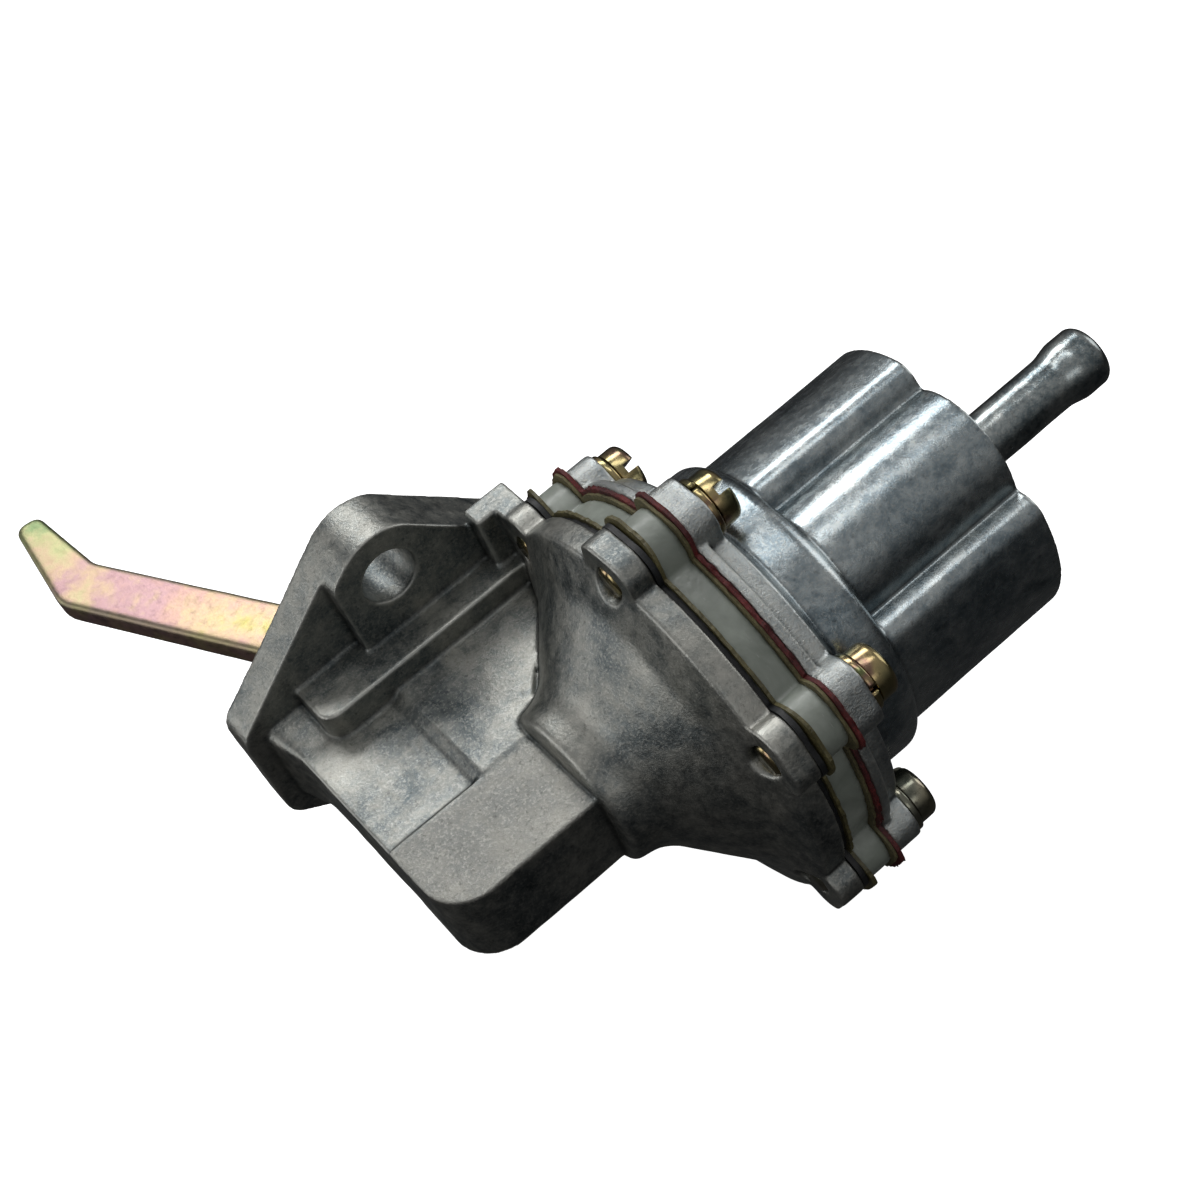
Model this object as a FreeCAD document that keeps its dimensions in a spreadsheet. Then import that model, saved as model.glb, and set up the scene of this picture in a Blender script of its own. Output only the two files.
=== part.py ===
import FreeCAD, Part
import math
import os
import Sketcher

# Mechanical fuel pump with a two-bolt flange, a rocker arm and a lobed dome, in millimetres.
# Frame: the origin is the centre of the flange's mounting face, midway between the two bolt holes.
# +X runs along the pump's axis towards the outlet pipe, +Y is the mounting face's outward normal,
# towards the engine, and +Z runs along the line of the two bolt holes.

V = FreeCAD.Vector
doc = FreeCAD.newDocument("fuel_pump")
sheet = doc.addObject("Spreadsheet::Sheet", "sizes")

SIZES = [
    # flange
    ("bolt_spacing", 40.4, "between the two bolt holes"),
    ("bolt_hole_d", 8.6, "bolt hole"),
    ("plate_thick", 6.0, "flange plate"),
    ("boss_thick", 9.0, "flange at the bolt bosses"),
    ("boss_edge_x", -8.0, "step from plate to boss"),
    ("boss_corner_round", 3.0, "round of that step's corners"),
    ("peak_x", 1.0, "where the flange's slanted sides would meet"),
    ("peak_rise", 10.9, "the same, above the bolt hole"),
    ("bolt_corner_round", 8.2, "flange round about the bolt hole"),
    ("heel_x", -29.2, "flange's far side"),
    ("heel_half", 9.1, "half length of that side"),
    ("heel_round", 4.0, "its corners"),
    ("toe_half", 10.2, "half width of the flange where it meets the ears"),
    # pump axis and layers along it
    ("axis_drop", 42.2, "mounting face to the pump's axis"),
    ("joint_x", 20.6, "face of the lower body"),
    ("guard_thick", 0.8, "rubber guard diaphragm"),
    ("fuel_thick", 0.5, "fuel diaphragm"),
    ("plate_valve_thick", 4.2, "nylon valve plate"),
    ("plate_gasket_thick", 0.4, "pale gasket"),
    ("cover_gasket_thick", 0.6, "red gasket"),
    # ring of screws
    ("screw_circle_r", 29.6, "circle of the six screws"),
    ("screw_angle", 31.0, "first screw, from +Y towards +Z"),
    ("screw_r", 2.5, "screw shank"),
    ("screw_hole_r", 2.75, "clearance hole"),
    ("tapped_gap", 0.02, "between thread and shank"),
    ("head_r", 4.05, "cheese head"),
    ("head_high", 3.4, "cheese head"),
    ("head_round", 0.9, "rounded top edge of the head"),
    ("head_slot_wide", 1.3, "driver slot"),
    ("head_slot_deep", 1.9, "driver slot"),
    ("washer_r", 4.6, "spring washer"),
    ("washer_thick", 1.2, "spring washer"),
    ("washer_split", 0.8, "gap of the spring washer"),
    ("tip_recess", 0.2, "screw tip below the ear's back"),
    # lower body
    ("rim_r", 30.8, "rims between the ears"),
    ("lower_ear_r", 34.9, "reach of the lower ears"),
    ("lower_ear_half", 5.3, "half width of the lower ears"),
    ("lower_ear_back_x", 16.7, "back of the lower ears"),
    ("ear_round", 3.5, "corners of the ears"),
    ("rim_back_x", 16.9, "back of the lower rim"),
    ("bell_small_x", 0.0, "small end of the bell"),
    ("bell_small_r", 12.3, "small end of the bell"),
    ("bell_waist_x", 5.0, "start of the flare"),
    ("bell_waist_r", 13.2, "start of the flare"),
    ("bell_flare_x", 14.0, "end of the flare"),
    ("bell_flare_r", 24.0, "end of the flare"),
    ("bell_round", 7.0, "rounds of the bell's outline"),
    ("bell_wall", 2.4, "wall of the bell"),
    ("guide_thick", 3.0, "wall that guides the rod"),
    ("link_web_x", 13.5, "web from flange to rim starts here"),
    ("link_web_top", -8.3, "web's side towards the engine"),
    ("link_web_thick", 3.7, "web"),
    ("link_web_half", 20.5, "half width of the web"),
    ("ear_pad_end", -20.0, "squared first ears end here"),
    ("ledge_x", -19.2, "end of the ledge that holds the pin"),
    ("ledge_half", 11.0, "half width of the ledge"),
    ("ledge_drop", 14.5, "mounting face to the ledge's back"),
    ("ledge_round", 2.5, "ledge's corner"),
    ("side_x", -24.5, "arm housing's far wall"),
    ("side_half", 6.2, "half width of the housing by the spring"),
    ("tail_y", -50.6, "housing's back wall"),
    ("tail_start_y", -35.2, "tail begins"),
    ("tail_half", 7.0, "half width of the tail"),
    ("tail_round", 7.0, "tail's corner"),
    ("web_x", -8.2, "raised side of the housing begins"),
    ("web_half", 7.3, "half width of the raised side"),
    ("web_bevel", 1.1, "slope at its edge"),
    ("web_shoulder_x", 6.4, "raised side's slanted outline"),
    ("web_shoulder_y", -28.0, "raised side's slanted outline"),
    ("root_flare", 2.6, "housing's flare at the flange"),
    ("root_deep", 6.5, "length of that flare"),
    ("wall", 2.5, "housing walls"),
    ("cavity_half", 4.3, "half width of the arm's space"),
    ("mouth_x", 5.6, "side of the arm's space by the pin"),
    ("mouth_deep", 22.0, "depth of that side"),
    # arm, link and pin
    ("pivot_x", -2.0, "pivot pin"),
    ("pivot_drop", 10.5, "mounting face to the pivot"),
    ("pin_r", 3.0, "pivot pin"),
    ("pin_half", 9.7, "half length of the pin"),
    ("pin_gap", 0.05, "running gap round the pin"),
    ("pin_end_gap", 0.1, "pin's end to its slot"),
    ("arm_thick", 4.4, "rocker arm"),
    ("arm_edge_round", 0.9, "rounded edges of the arm"),
    ("arm_tip_x", -28.6, "arm's tip, side towards the pump"),
    ("arm_tip_y", 67.7, "arm's tip"),
    ("arm_tip_wide", 4.4, "arm's tip"),
    ("arm_bend_x", -35.4, "cam side of the bend"),
    ("arm_bend_y", 47.8, "cam side of the bend"),
    ("arm_inner_bend_x", -27.0, "inner side of the bend"),
    ("arm_inner_bend_y", 50.8, "inner side of the bend"),
    ("arm_flare_x", -16.2, "arm widens from here to the mounting face"),
    ("arm_flare_y", 9.0, "arm widens from here to the mounting face"),
    ("arm_mouth_x", -12.9, "arm's cam side at the mounting face"),
    ("arm_mouth_wide", 11.5, "arm across X at the mounting face"),
    ("arm_hub_r", 6.4, "arm round the pin"),
    ("arm_toe_x", -11.0, "arm's toe, spring side"),
    ("arm_toe_end", -33.8, "end of the arm's toe"),
    ("arm_heel_x", 2.1, "heel that stops on the housing"),
    ("arm_heel_y", -27.6, "heel that stops on the housing"),
    ("link_plate", 1.2, "link lever's sheet"),
    ("link_inner_half", 2.8, "inner faces of the link's cheeks"),
    ("link_fork_x", -11.3, "fork face that pulls the rod"),
    ("link_fork_wide", 3.4, "fork prongs"),
    ("link_fork_past", 4.0, "prongs past the rod's axis"),
    ("link_bridge_gap", 0.4, "arm's toe to the link's bridge"),
    ("link_bridge_long", 3.6, "bridge"),
    ("washer_gap", 0.05, "side gap of the pivot washers"),
    ("pivot_washer_r", 5.0, "pivot washers"),
    # springs of the arm
    ("arm_spring_r", 2.7, "mean radius"),
    ("arm_spring_wire", 0.9, "wire"),
    ("arm_spring_y", -23.4, "place"),
    ("arm_spring_turns", 5.0, "turns"),
    ("spring_seat_gap", 0.03, "spring to its seats"),
    # rod, seal, discs and main spring
    ("rod_r", 2.4, "pull rod"),
    ("rod_gap", 0.05, "running gap of the rod"),
    ("collar_r", 4.0, "collar on the rod"),
    ("collar_thick", 2.4, "collar on the rod"),
    ("collar_gap", 0.6, "fork to collar"),
    ("stub_r", 1.7, "rod through the diaphragms"),
    ("rivet_r", 3.5, "riveted head"),
    ("rivet_thick", 1.0, "riveted head"),
    ("disc_r", 15.0, "diaphragm discs"),
    ("disc_thick", 0.8, "diaphragm discs"),
    ("disc_rim", 1.2, "turned rim of the lower disc"),
    ("seal_r", 8.4, "oil seal"),
    ("seal_thick", 2.2, "oil seal"),
    ("retainer_r", 9.3, "seal retainer"),
    ("retainer_thick", 1.0, "seal retainer"),
    ("retainer_hole_r", 3.4, "seal retainer"),
    ("main_spring_r", 7.2, "mean radius"),
    ("main_spring_wire", 1.6, "wire"),
    ("main_spring_turns", 4.5, "turns"),
    # valve plate and valves
    ("plate_r", 29.3, "valve plate between the screws"),
    ("plate_boss_r", 4.9, "valve plate round the screws"),
    ("plate_recess_r", 24.0, "fuel space under the valve plate"),
    ("plate_recess_deep", 2.8, "fuel space under the valve plate"),
    ("tower_gap", 0.2, "valve tower in its bore"),
    ("tower_top", 6.8, "valve tower above the plate"),
    ("tower_bore_r", 5.6, "valve chamber"),
    ("port_r", 1.1, "fuel ports"),
    ("port_circle_r", 3.4, "fuel ports"),
    ("post_r", 1.2, "stop posts of the valves"),
    ("lift", 1.5, "valve lift"),
    ("valve_r", 5.0, "valve discs"),
    ("valve_thick", 0.8, "valve discs"),
    ("cap_r", 6.8, "valve caps"),
    ("cap_thick", 1.0, "valve caps"),
    ("spigot_long", 1.2, "cap inside the tower"),
    ("spigot_gap", 0.05, "cap inside the tower"),
    ("valve_spring_r", 2.2, "mean radius"),
    ("valve_spring_wire", 0.5, "wire"),
    ("valve_spring_turns", 3.5, "turns"),
    ("screen_r", 6.9, "inlet screen"),
    ("screen_high", 9.0, "inlet screen"),
    ("screen_thick", 0.4, "inlet screen"),
    # gaskets
    ("gasket_ear_r", 35.7, "reach of the gaskets' ears"),
    ("gasket_ear_half", 5.6, "half width of the gaskets' ears"),
    ("gasket_gap", 0.2, "gasket holes round the bores"),
    # upper body
    ("cover_ear_r", 34.4, "reach of the upper ears"),
    ("cover_ear_half", 5.2, "half width of the upper ears"),
    ("cover_ear_thick", 4.4, "upper ears"),
    ("seat_gap", 0.5, "washer to the side of its seat"),
    ("cover_step", 1.7, "first step of the upper rim"),
    ("cover_band_r", 28.9, "second band of the upper rim"),
    ("cover_band_high", 4.4, "second band of the upper rim"),
    ("bowl_foot_high", 6.2, "foot of the bowl's wall"),
    ("bowl_r", 24.5, "bowl"),
    ("bowl_high", 13.8, "bowl's shoulder above the gasket"),
    ("bowl_round", 2.2, "bowl's shoulder"),
    ("dome_r", 22.5, "dome"),
    ("notch_apex", 11.2, "apex of the notches that part the valve lobes from the dome"),
    ("notch_slope", 1.64, "half width that a notch gains for each millimetre outwards"),
    ("notch_round", 3.2, "dome's corners at the notches"),
    ("lobe_angle", 119.5, "first valve lobe, from +Y towards +Z"),
    ("lobe_out", 12.5, "lobe centre from the axis"),
    ("lobe_r", 10.2, "valve lobes"),
    ("lobe_bore_r", 7.2, "dome's bores"),
    ("dome_top_x", 68.7, "end of the dome"),
    ("dome_roof", 6.0, "roof over the bores"),
    ("rib_r", 0.9, "rib in a valley"),
    ("rib_out", 19.2, "rib in a valley"),
    ("rib_turn", 32.0, "rib from the lobe's middle"),
    # hose pipes
    ("pipe_r", 4.05, "hose pipe"),
    ("pipe_bore_r", 2.9, "hose pipe's bore"),
    ("pipe_out", 23.1, "outlet pipe past the dome"),
    ("pipe_turn", 4.6, "outlet pipe from the middle of its lobe, about the pump's axis"),
    ("bead_r", 4.65, "bead at the pipe's end"),
    ("bead_long", 4.0, "bead with its rounded end"),
    ("bead_round", 1.6, "rounded end"),
    ("bead_slope", 3.4, "flare up to the bead"),
    ("bead_blend", 2.0, "rounds of the flare"),
    ("fit_gap", 0.02, "pressed fits"),
    ("inlet_x", 57.0, "inlet pipe"),
    ("inlet_out", 25.5, "inlet pipe past its boss"),
    ("inlet_boss_r", 6.4, "boss of the inlet pipe"),
    ("inlet_boss_end", 25.0, "boss of the inlet pipe"),
]

EARS = 6
EAR_STEP = 360.0 / EARS
LOBES = 4
LOBE_STEP = 360.0 / LOBES
PORTS = 5
PORT_STEP = 360.0 / PORTS
SLOT_ANGLES = [128.0, 122.0, 35.0, 50.0, 80.0, 10.0]


class Size:
    """A length or angle together with the spreadsheet formula that it comes from."""

    def __init__(self, value, formula):
        self.value = float(value)
        self.formula = formula

    def __add__(self, other):
        other = as_size(other)
        return Size(self.value + other.value, "(%s + %s)" % (self.formula, other.formula))

    def __sub__(self, other):
        other = as_size(other)
        return Size(self.value - other.value, "(%s - %s)" % (self.formula, other.formula))

    def __mul__(self, other):
        other = as_size(other)
        return Size(self.value * other.value, "(%s * %s)" % (self.formula, other.formula))

    def __truediv__(self, other):
        other = as_size(other)
        return Size(self.value / other.value, "(%s / %s)" % (self.formula, other.formula))

    def __neg__(self):
        return Size(-self.value, "(-1 * %s)" % self.formula)


def as_size(x):
    return x if isinstance(x, Size) else Size(x, repr(float(x)))


def cosine(degrees):
    """Cosine of a plain angle in degrees."""
    return math.cos(math.radians(degrees))


def sine(degrees):
    return math.sin(math.radians(degrees))


def fill_sheet():
    for row, (alias, value, note) in enumerate(SIZES, start=1):
        sheet.set("A%d" % row, alias)
        sheet.set("B%d" % row, str(value))
        sheet.set("C%d" % row, note)
        sheet.setAlias("B%d" % row, alias)
    doc.recompute()


fill_sheet()
S = {alias: Size(value, "sizes.%s" % alias) for alias, value, note in SIZES}


def bind(obj, path, size):
    obj.setExpression(path, as_size(size).formula)


# Sketches

def hold(sketch, geometry, end, x, y):
    """Fixes a point's two coordinates to sizes; a plain zero lies on the sketch's axis."""
    for kind, axis, size in (("DistanceX", -2, x), ("DistanceY", -1, y)):
        size = as_size(size)
        if size.value == 0.0 and "sizes" not in size.formula:
            sketch.addConstraint(Sketcher.Constraint("PointOnObject", geometry, end, axis))
        else:
            index = sketch.addConstraint(Sketcher.Constraint(kind, geometry, end, size.value))
            bind(sketch, "Constraints[%d]" % index, size)


def circle(sketch, x, y, radius):
    x, y, radius = as_size(x), as_size(y), as_size(radius)
    shape = Part.Circle(V(x.value, y.value, 0), V(0, 0, 1), radius.value)
    index = sketch.addGeometry(shape, False)
    hold(sketch, index, 3, x, y)
    rule = sketch.addConstraint(Sketcher.Constraint("Radius", index, radius.value))
    bind(sketch, "Constraints[%d]" % rule, radius)


def corner_arc(before, corner, after, radius):
    """Arc that rounds a corner: its first and last point, centre and whether it turns left."""
    to_before = (before - corner).normalize()
    to_after = (after - corner).normalize()
    half = 0.5 * math.acos(max(-1.0, min(1.0, to_before.dot(to_after))))
    reach = radius / math.tan(half)
    arrive = corner + to_before * reach
    leave = corner + to_after * reach
    middle = (to_before + to_after).normalize()
    centre = corner + middle * (radius / math.sin(half))
    left = (corner - before).cross(after - corner).z > 0
    return arrive, leave, centre, left


def angle_of(point, centre):
    return math.atan2(point.y - centre.y, point.x - centre.x)


def outline(sketch, corners):
    """Closed outline with straight sides through the corners (x, y, radius)."""
    corners = [(as_size(x), as_size(y), as_size(r)) for x, y, r in corners]
    points = [V(x.value, y.value, 0) for x, y, r in corners]
    count = len(points)
    arcs = []
    for k, (x, y, r) in enumerate(corners):
        arc = None
        if r.value > 0:
            arc = corner_arc(points[k - 1], points[k], points[(k + 1) % count], r.value)
        arcs.append(arc)
    sides = []
    for k in range(count):
        start = arcs[k][1] if arcs[k] else points[k]
        following = arcs[(k + 1) % count]
        stop = following[0] if following else points[(k + 1) % count]
        sides.append(sketch.addGeometry(Part.LineSegment(start, stop), False))
    for k, (x, y, r) in enumerate(corners):
        before, after = sides[k - 1], sides[k]
        if not arcs[k]:
            sketch.addConstraint(Sketcher.Constraint("Coincident", before, 2, after, 1))
            hold(sketch, after, 1, x, y)
            continue
        arrive, leave, centre, left = arcs[k]
        full = Part.Circle(centre, V(0, 0, 1), r.value)
        first, last = (arrive, leave) if left else (leave, arrive)
        arc = Part.ArcOfCircle(full, angle_of(first, centre), angle_of(last, centre))
        index = sketch.addGeometry(arc, False)
        sketch.addConstraint(Sketcher.Constraint("Tangent", before, 2, index, 1 if left else 2))
        sketch.addConstraint(Sketcher.Constraint("Tangent", index, 2 if left else 1, after, 1))
        rule = sketch.addConstraint(Sketcher.Constraint("Radius", index, r.value))
        bind(sketch, "Constraints[%d]" % rule, r)
        mark = sketch.addGeometry(Part.Point(points[k]), True)
        sketch.addConstraint(Sketcher.Constraint("PointOnObject", mark, 1, before))
        sketch.addConstraint(Sketcher.Constraint("PointOnObject", mark, 1, after))
        hold(sketch, mark, 1, x, y)


# Bodies and their features

def new_body(name):
    body = doc.addObject("PartDesign::Body", name)
    body.Label = name
    return body


def new_sketch(body, name, role, offset=None):
    sketch = body.newObject("Sketcher::SketchObject", name)
    plane = next(f for f in body.Origin.OriginFeatures if f.Role == role)
    sketch.AttachmentSupport = [(plane, "")]
    sketch.MapMode = "FlatFace"
    if offset is not None:
        bind(sketch, "AttachmentOffset.Base.z", offset)
    return sketch


def pad(body, sketch, length, both=False, backwards=False):
    feature = body.newObject("PartDesign::Pad", sketch.Name + "_pad")
    feature.Profile = sketch
    feature.SideType = "Symmetric" if both else "One side"
    feature.Reversed = backwards
    bind(feature, "Length", length)
    return feature


def through(body, sketch):
    """Cuts the sketch through everything, both ways."""
    feature = body.newObject("PartDesign::Pocket", sketch.Name + "_cut")
    feature.Profile = sketch
    feature.Type = "ThroughAll"
    feature.SideType = "Symmetric"
    return feature


def sink(body, sketch, depth):
    """Cuts the sketch along its normal to a depth."""
    feature = body.newObject("PartDesign::Pocket", sketch.Name + "_cut")
    feature.Profile = sketch
    feature.Reversed = True
    bind(feature, "Length", depth)
    return feature


def turn(body, sketch):
    """Revolves the sketch about its own horizontal axis."""
    feature = body.newObject("PartDesign::Revolution", sketch.Name + "_turn")
    feature.Profile = sketch
    feature.ReferenceAxis = (sketch, ["H_Axis"])
    feature.Angle = 360.0
    return feature


def ring_of(body, sketch, originals, count):
    """Repeats features round the sketch's normal."""
    feature = body.newObject("PartDesign::PolarPattern", sketch.Name + "_ring")
    feature.Originals = originals
    feature.Axis = (sketch, ["N_Axis"])
    feature.Angle = 360.0
    feature.Occurrences = count
    body.Tip = feature
    return feature


def on_pump_axis(obj, degrees=0.0):
    """Stands an object on the pump's axis, turned about it."""
    degrees = as_size(degrees)
    obj.Placement = FreeCAD.Placement(V(0, 0, 0), FreeCAD.Rotation(V(1, 0, 0), degrees.value))
    bind(obj, "Placement.Base.y", -S["axis_drop"])
    if degrees.formula.startswith("sizes"):
        bind(obj, "Placement.Rotation.Angle", degrees)


def cylinder(name, radius, length, direction, x=0, y=0, z=0):
    """Cylinder from a point along a direction."""
    obj = doc.addObject("Part::Cylinder", name)
    obj.Placement = FreeCAD.Placement(V(0, 0, 0), FreeCAD.Rotation(V(0, 0, 1), direction))
    bind(obj, "Radius", radius)
    bind(obj, "Height", length)
    for axis, size in (("x", x), ("y", y), ("z", z)):
        bind(obj, "Placement.Base.%s" % axis, size)
    return obj


def box(name, x0, x1, y0, y1, z0, z1):
    """Box between two limits along each axis."""
    obj = doc.addObject("Part::Box", name)
    limits = [(as_size(a), as_size(b)) for a, b in ((x0, x1), (y0, y1), (z0, z1))]
    for side, axis, (low, high) in zip(("Length", "Width", "Height"), "xyz", limits):
        bind(obj, side, high - low)
        bind(obj, "Placement.Base.%s" % axis, low)
    return obj


def fuse(name, shapes):
    obj = doc.addObject("Part::MultiFuse", name)
    obj.Shapes = shapes
    obj.Label = name
    return obj


def cut(name, base, tool):
    obj = doc.addObject("Part::Cut", name)
    obj.Base = base
    obj.Tool = tool
    obj.Label = name
    return obj


def group(name, shapes):
    obj = doc.addObject("Part::Compound", name)
    obj.Links = shapes
    obj.Label = name
    return obj


def tube(name, outer, inner, x0, x1, degrees=0.0):
    """Plain ring or tube on the pump's axis."""
    body = new_body(name)
    sketch = new_sketch(body, name + "_outline", "YZ_Plane", x0)
    circle(sketch, 0, 0, outer)
    circle(sketch, 0, 0, inner)
    pad(body, sketch, as_size(x1) - x0)
    on_pump_axis(body, degrees)
    return body


def coil(name, radius, wire, turns, length, direction, x=0, y=0, z=0):
    """Helical spring that starts at a point and fills a length along a direction."""
    rise = length - wire - S["spring_seat_gap"] * 2
    helix = doc.addObject("Part::Helix", name + "_line")
    bind(helix, "Pitch", rise / turns)
    bind(helix, "Height", rise)
    bind(helix, "Radius", radius)
    section = doc.addObject("Part::Circle", name + "_wire")
    bind(section, "Radius", wire / 2)
    section.Placement = FreeCAD.Placement(V(0, 0, 0), FreeCAD.Rotation(V(1, 0, 0), 90))
    bind(section, "Placement.Base.x", radius)
    sweep = doc.addObject("Part::Sweep", name)
    sweep.Sections = [section]
    sweep.Spine = (helix, ["Edge1"])
    sweep.Solid = True
    sweep.Frenet = True
    sweep.Label = name
    start = wire / 2 + S["spring_seat_gap"]
    sweep.Placement = FreeCAD.Placement(V(0, 0, 0), FreeCAD.Rotation(V(0, 0, 1), direction))
    for axis, size, part in (("x", x, direction.x), ("y", y, direction.y), ("z", z, direction.z)):
        bind(sweep, "Placement.Base.%s" % axis, as_size(size) + start * part)
    return sweep


# Places along the pump's axis

guard_top = S["joint_x"] + S["guard_thick"]
fuel_top = guard_top + S["fuel_thick"]
plate_top = fuel_top + S["plate_valve_thick"]
pale_top = plate_top + S["plate_gasket_thick"]
cover_x = pale_top + S["cover_gasket_thick"]
cover_ear_x = cover_x + S["cover_ear_thick"]
head_x = cover_ear_x + S["washer_thick"]
plate_floor = fuel_top + S["plate_recess_deep"]
tower_x = plate_top + S["tower_top"]
pivot_y = -S["pivot_drop"]
axis_y = -S["axis_drop"]
ledge_y = -S["ledge_drop"]
cavity_x = S["side_x"] + S["wall"]
cavity_y = S["tail_y"] + S["wall"]
bolt_z = S["bolt_spacing"] / 2


def place_on_ring(obj, circle_r, degrees):
    """Moves an object across the pump's axis, to an angle from +Y towards +Z."""
    circle_r, degrees = as_size(circle_r), as_size(degrees)
    across = "%s * cos(1deg * %s)" % (circle_r.formula, degrees.formula)
    along = "%s * sin(1deg * %s)" % (circle_r.formula, degrees.formula)
    obj.setExpression("Placement.Base.y", "%s + %s" % (axis_y.formula, across))
    obj.setExpression("Placement.Base.z", along)


def add_ears(body, name, x0, thick, reach, half):
    """Six ears with rounded corners, the first one along the body's own +Y."""
    sketch = new_sketch(body, name, "YZ_Plane", x0)
    inner = S["screw_circle_r"] - half
    outline(
        sketch,
        [
            (inner, -half, 0),
            (reach, -half, S["ear_round"]),
            (reach, half, S["ear_round"]),
            (inner, half, 0),
        ],
    )
    first = pad(body, sketch, thick)
    ring_of(body, sketch, [first], EARS)


def add_screw_holes(body, name, x0, radius):
    sketch = new_sketch(body, name, "YZ_Plane", x0)
    circle(sketch, S["screw_circle_r"], 0, radius)
    first = through(body, sketch)
    ring_of(body, sketch, [first], EARS)


# Lower body

def flange_corners(left, left_z, left_round):
    top = bolt_z + S["peak_rise"]
    return [
        (S["joint_x"], S["toe_half"], 0),
        (S["peak_x"], top, S["bolt_corner_round"]),
        (left, left_z, left_round),
        (left, -left_z, left_round),
        (S["peak_x"], -top, S["bolt_corner_round"]),
        (S["joint_x"], -S["toe_half"], 0),
    ]


def flange():
    """Plate with a thicker boss side; the boss's far corners lie on the plate's slanted sides."""
    plate = new_body("flange_plate")
    sketch = new_sketch(plate, "flange_outline", "XZ_Plane")
    outline(sketch, flange_corners(S["heel_x"], S["heel_half"], S["heel_round"]))
    pad(plate, sketch, S["plate_thick"])
    boss = new_body("flange_boss")
    sketch = new_sketch(boss, "boss_outline", "XZ_Plane")
    top = bolt_z + S["peak_rise"]
    run = S["peak_x"] - S["heel_x"]
    drop = (top - S["heel_half"]) * (S["peak_x"] - S["boss_edge_x"]) / run
    outline(sketch, flange_corners(S["boss_edge_x"], top - drop, S["boss_corner_round"]))
    pad(boss, sketch, S["boss_thick"])
    return [plate, boss]


def bell():
    """Flared housing of the diaphragm's spring, with the rod's guide wall at its small end."""
    body = new_body("bell")
    sketch = new_sketch(body, "bell_profile", "XY_Plane")
    outline(
        sketch,
        [
            (S["bell_small_x"], 0, 0),
            (S["joint_x"], 0, 0),
            (S["joint_x"], S["rim_r"], 0),
            (S["rim_back_x"], S["rim_r"], 0),
            (S["bell_flare_x"], S["bell_flare_r"], S["bell_round"]),
            (S["bell_waist_x"], S["bell_waist_r"], S["bell_round"]),
            (S["bell_small_x"], S["bell_small_r"], S["wall"] / 2),
        ],
    )
    turn(body, sketch)
    on_pump_axis(body)
    return body


def bell_inside():
    body = new_body("bell_inside")
    sketch = new_sketch(body, "bell_inside_profile", "XY_Plane")
    floor = S["bell_small_x"] + S["guide_thick"]
    wall = S["bell_wall"]
    outline(
        sketch,
        [
            (floor, 0, 0),
            (S["joint_x"], 0, 0),
            (S["joint_x"], S["bell_flare_r"] + wall, 0),
            (S["rim_back_x"] + wall / 2, S["bell_flare_r"] + wall, 0),
            (S["bell_flare_x"] + wall / 2, S["bell_flare_r"] - wall, 0),
            (S["bell_waist_x"] + wall / 2, S["bell_waist_r"] - wall, 0),
            (floor, S["bell_small_r"] - wall, 0),
        ],
    )
    turn(body, sketch)
    on_pump_axis(body)
    return body


def lower_ears():
    body = new_body("lower_ears")
    thick = S["joint_x"] - S["lower_ear_back_x"]
    add_ears(body, "lower_ear", S["lower_ear_back_x"], thick, S["lower_ear_r"], S["lower_ear_half"])
    on_pump_axis(body, S["screw_angle"])
    return body


def housing():
    """Arm housing: spring side, tail and raised side, each of its own width, and the pin's ledge."""
    pieces = []
    side = new_body("housing_side")
    sketch = new_sketch(side, "side_outline", "XY_Plane")
    inside = -S["plate_thick"] / 2
    low = S["tail_start_y"] - S["wall"]
    outline(
        sketch,
        [(S["side_x"], inside, 0), (S["side_x"], low, 0), (0, low, 0), (0, inside, 0)],
    )
    pad(side, sketch, S["side_half"] * 2, both=True)
    pieces.append(side)

    tail = new_body("housing_tail")
    sketch = new_sketch(tail, "tail_outline", "XY_Plane")
    right = S["bell_small_x"] + S["guide_thick"] / 2
    outline(
        sketch,
        [
            (S["side_x"], S["tail_start_y"], 0),
            (S["side_x"], S["tail_y"], S["tail_round"]),
            (right, S["tail_y"], 0),
            (right, S["tail_start_y"], 0),
        ],
    )
    pad(tail, sketch, S["tail_half"] * 2, both=True)
    pieces.append(tail)

    web = new_body("housing_web")
    sketch = new_sketch(web, "web_outline", "XY_Plane")
    outline(
        sketch,
        [
            (S["web_x"], inside, 0),
            (S["web_x"], S["tail_start_y"], 0),
            (S["bell_small_x"], S["tail_start_y"], 0),
            (S["web_shoulder_x"], S["web_shoulder_y"], 0),
            (S["rim_back_x"], -S["ledge_drop"] - S["wall"], 0),
            (S["rim_back_x"], inside, 0),
        ],
    )
    pad(web, sketch, S["web_half"] * 2, both=True)
    pieces.append(web)

    bevel = new_body("web_bevel_piece")
    sketch = new_sketch(bevel, "web_bevel_outline", "XZ_Plane", -inside)
    foot = S["web_x"] - S["web_bevel"] * 1.6
    outline(
        sketch,
        [
            (foot, -S["side_half"], 0),
            (S["web_x"], -S["web_half"], 0),
            (S["web_x"], S["web_half"], 0),
            (foot, S["side_half"], 0),
        ],
    )
    pad(bevel, sketch, inside - S["tail_start_y"])
    pieces.append(bevel)

    ledge = new_body("pin_ledge")
    sketch = new_sketch(ledge, "ledge_outline", "XY_Plane")
    outline(
        sketch,
        [
            (S["ledge_x"], inside, 0),
            (S["ledge_x"], ledge_y, S["ledge_round"]),
            (S["rim_back_x"], ledge_y, 0),
            (S["rim_back_x"], inside, 0),
        ],
    )
    pad(ledge, sketch, S["ledge_half"] * 2, both=True)
    pieces.append(ledge)
    return pieces


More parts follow.
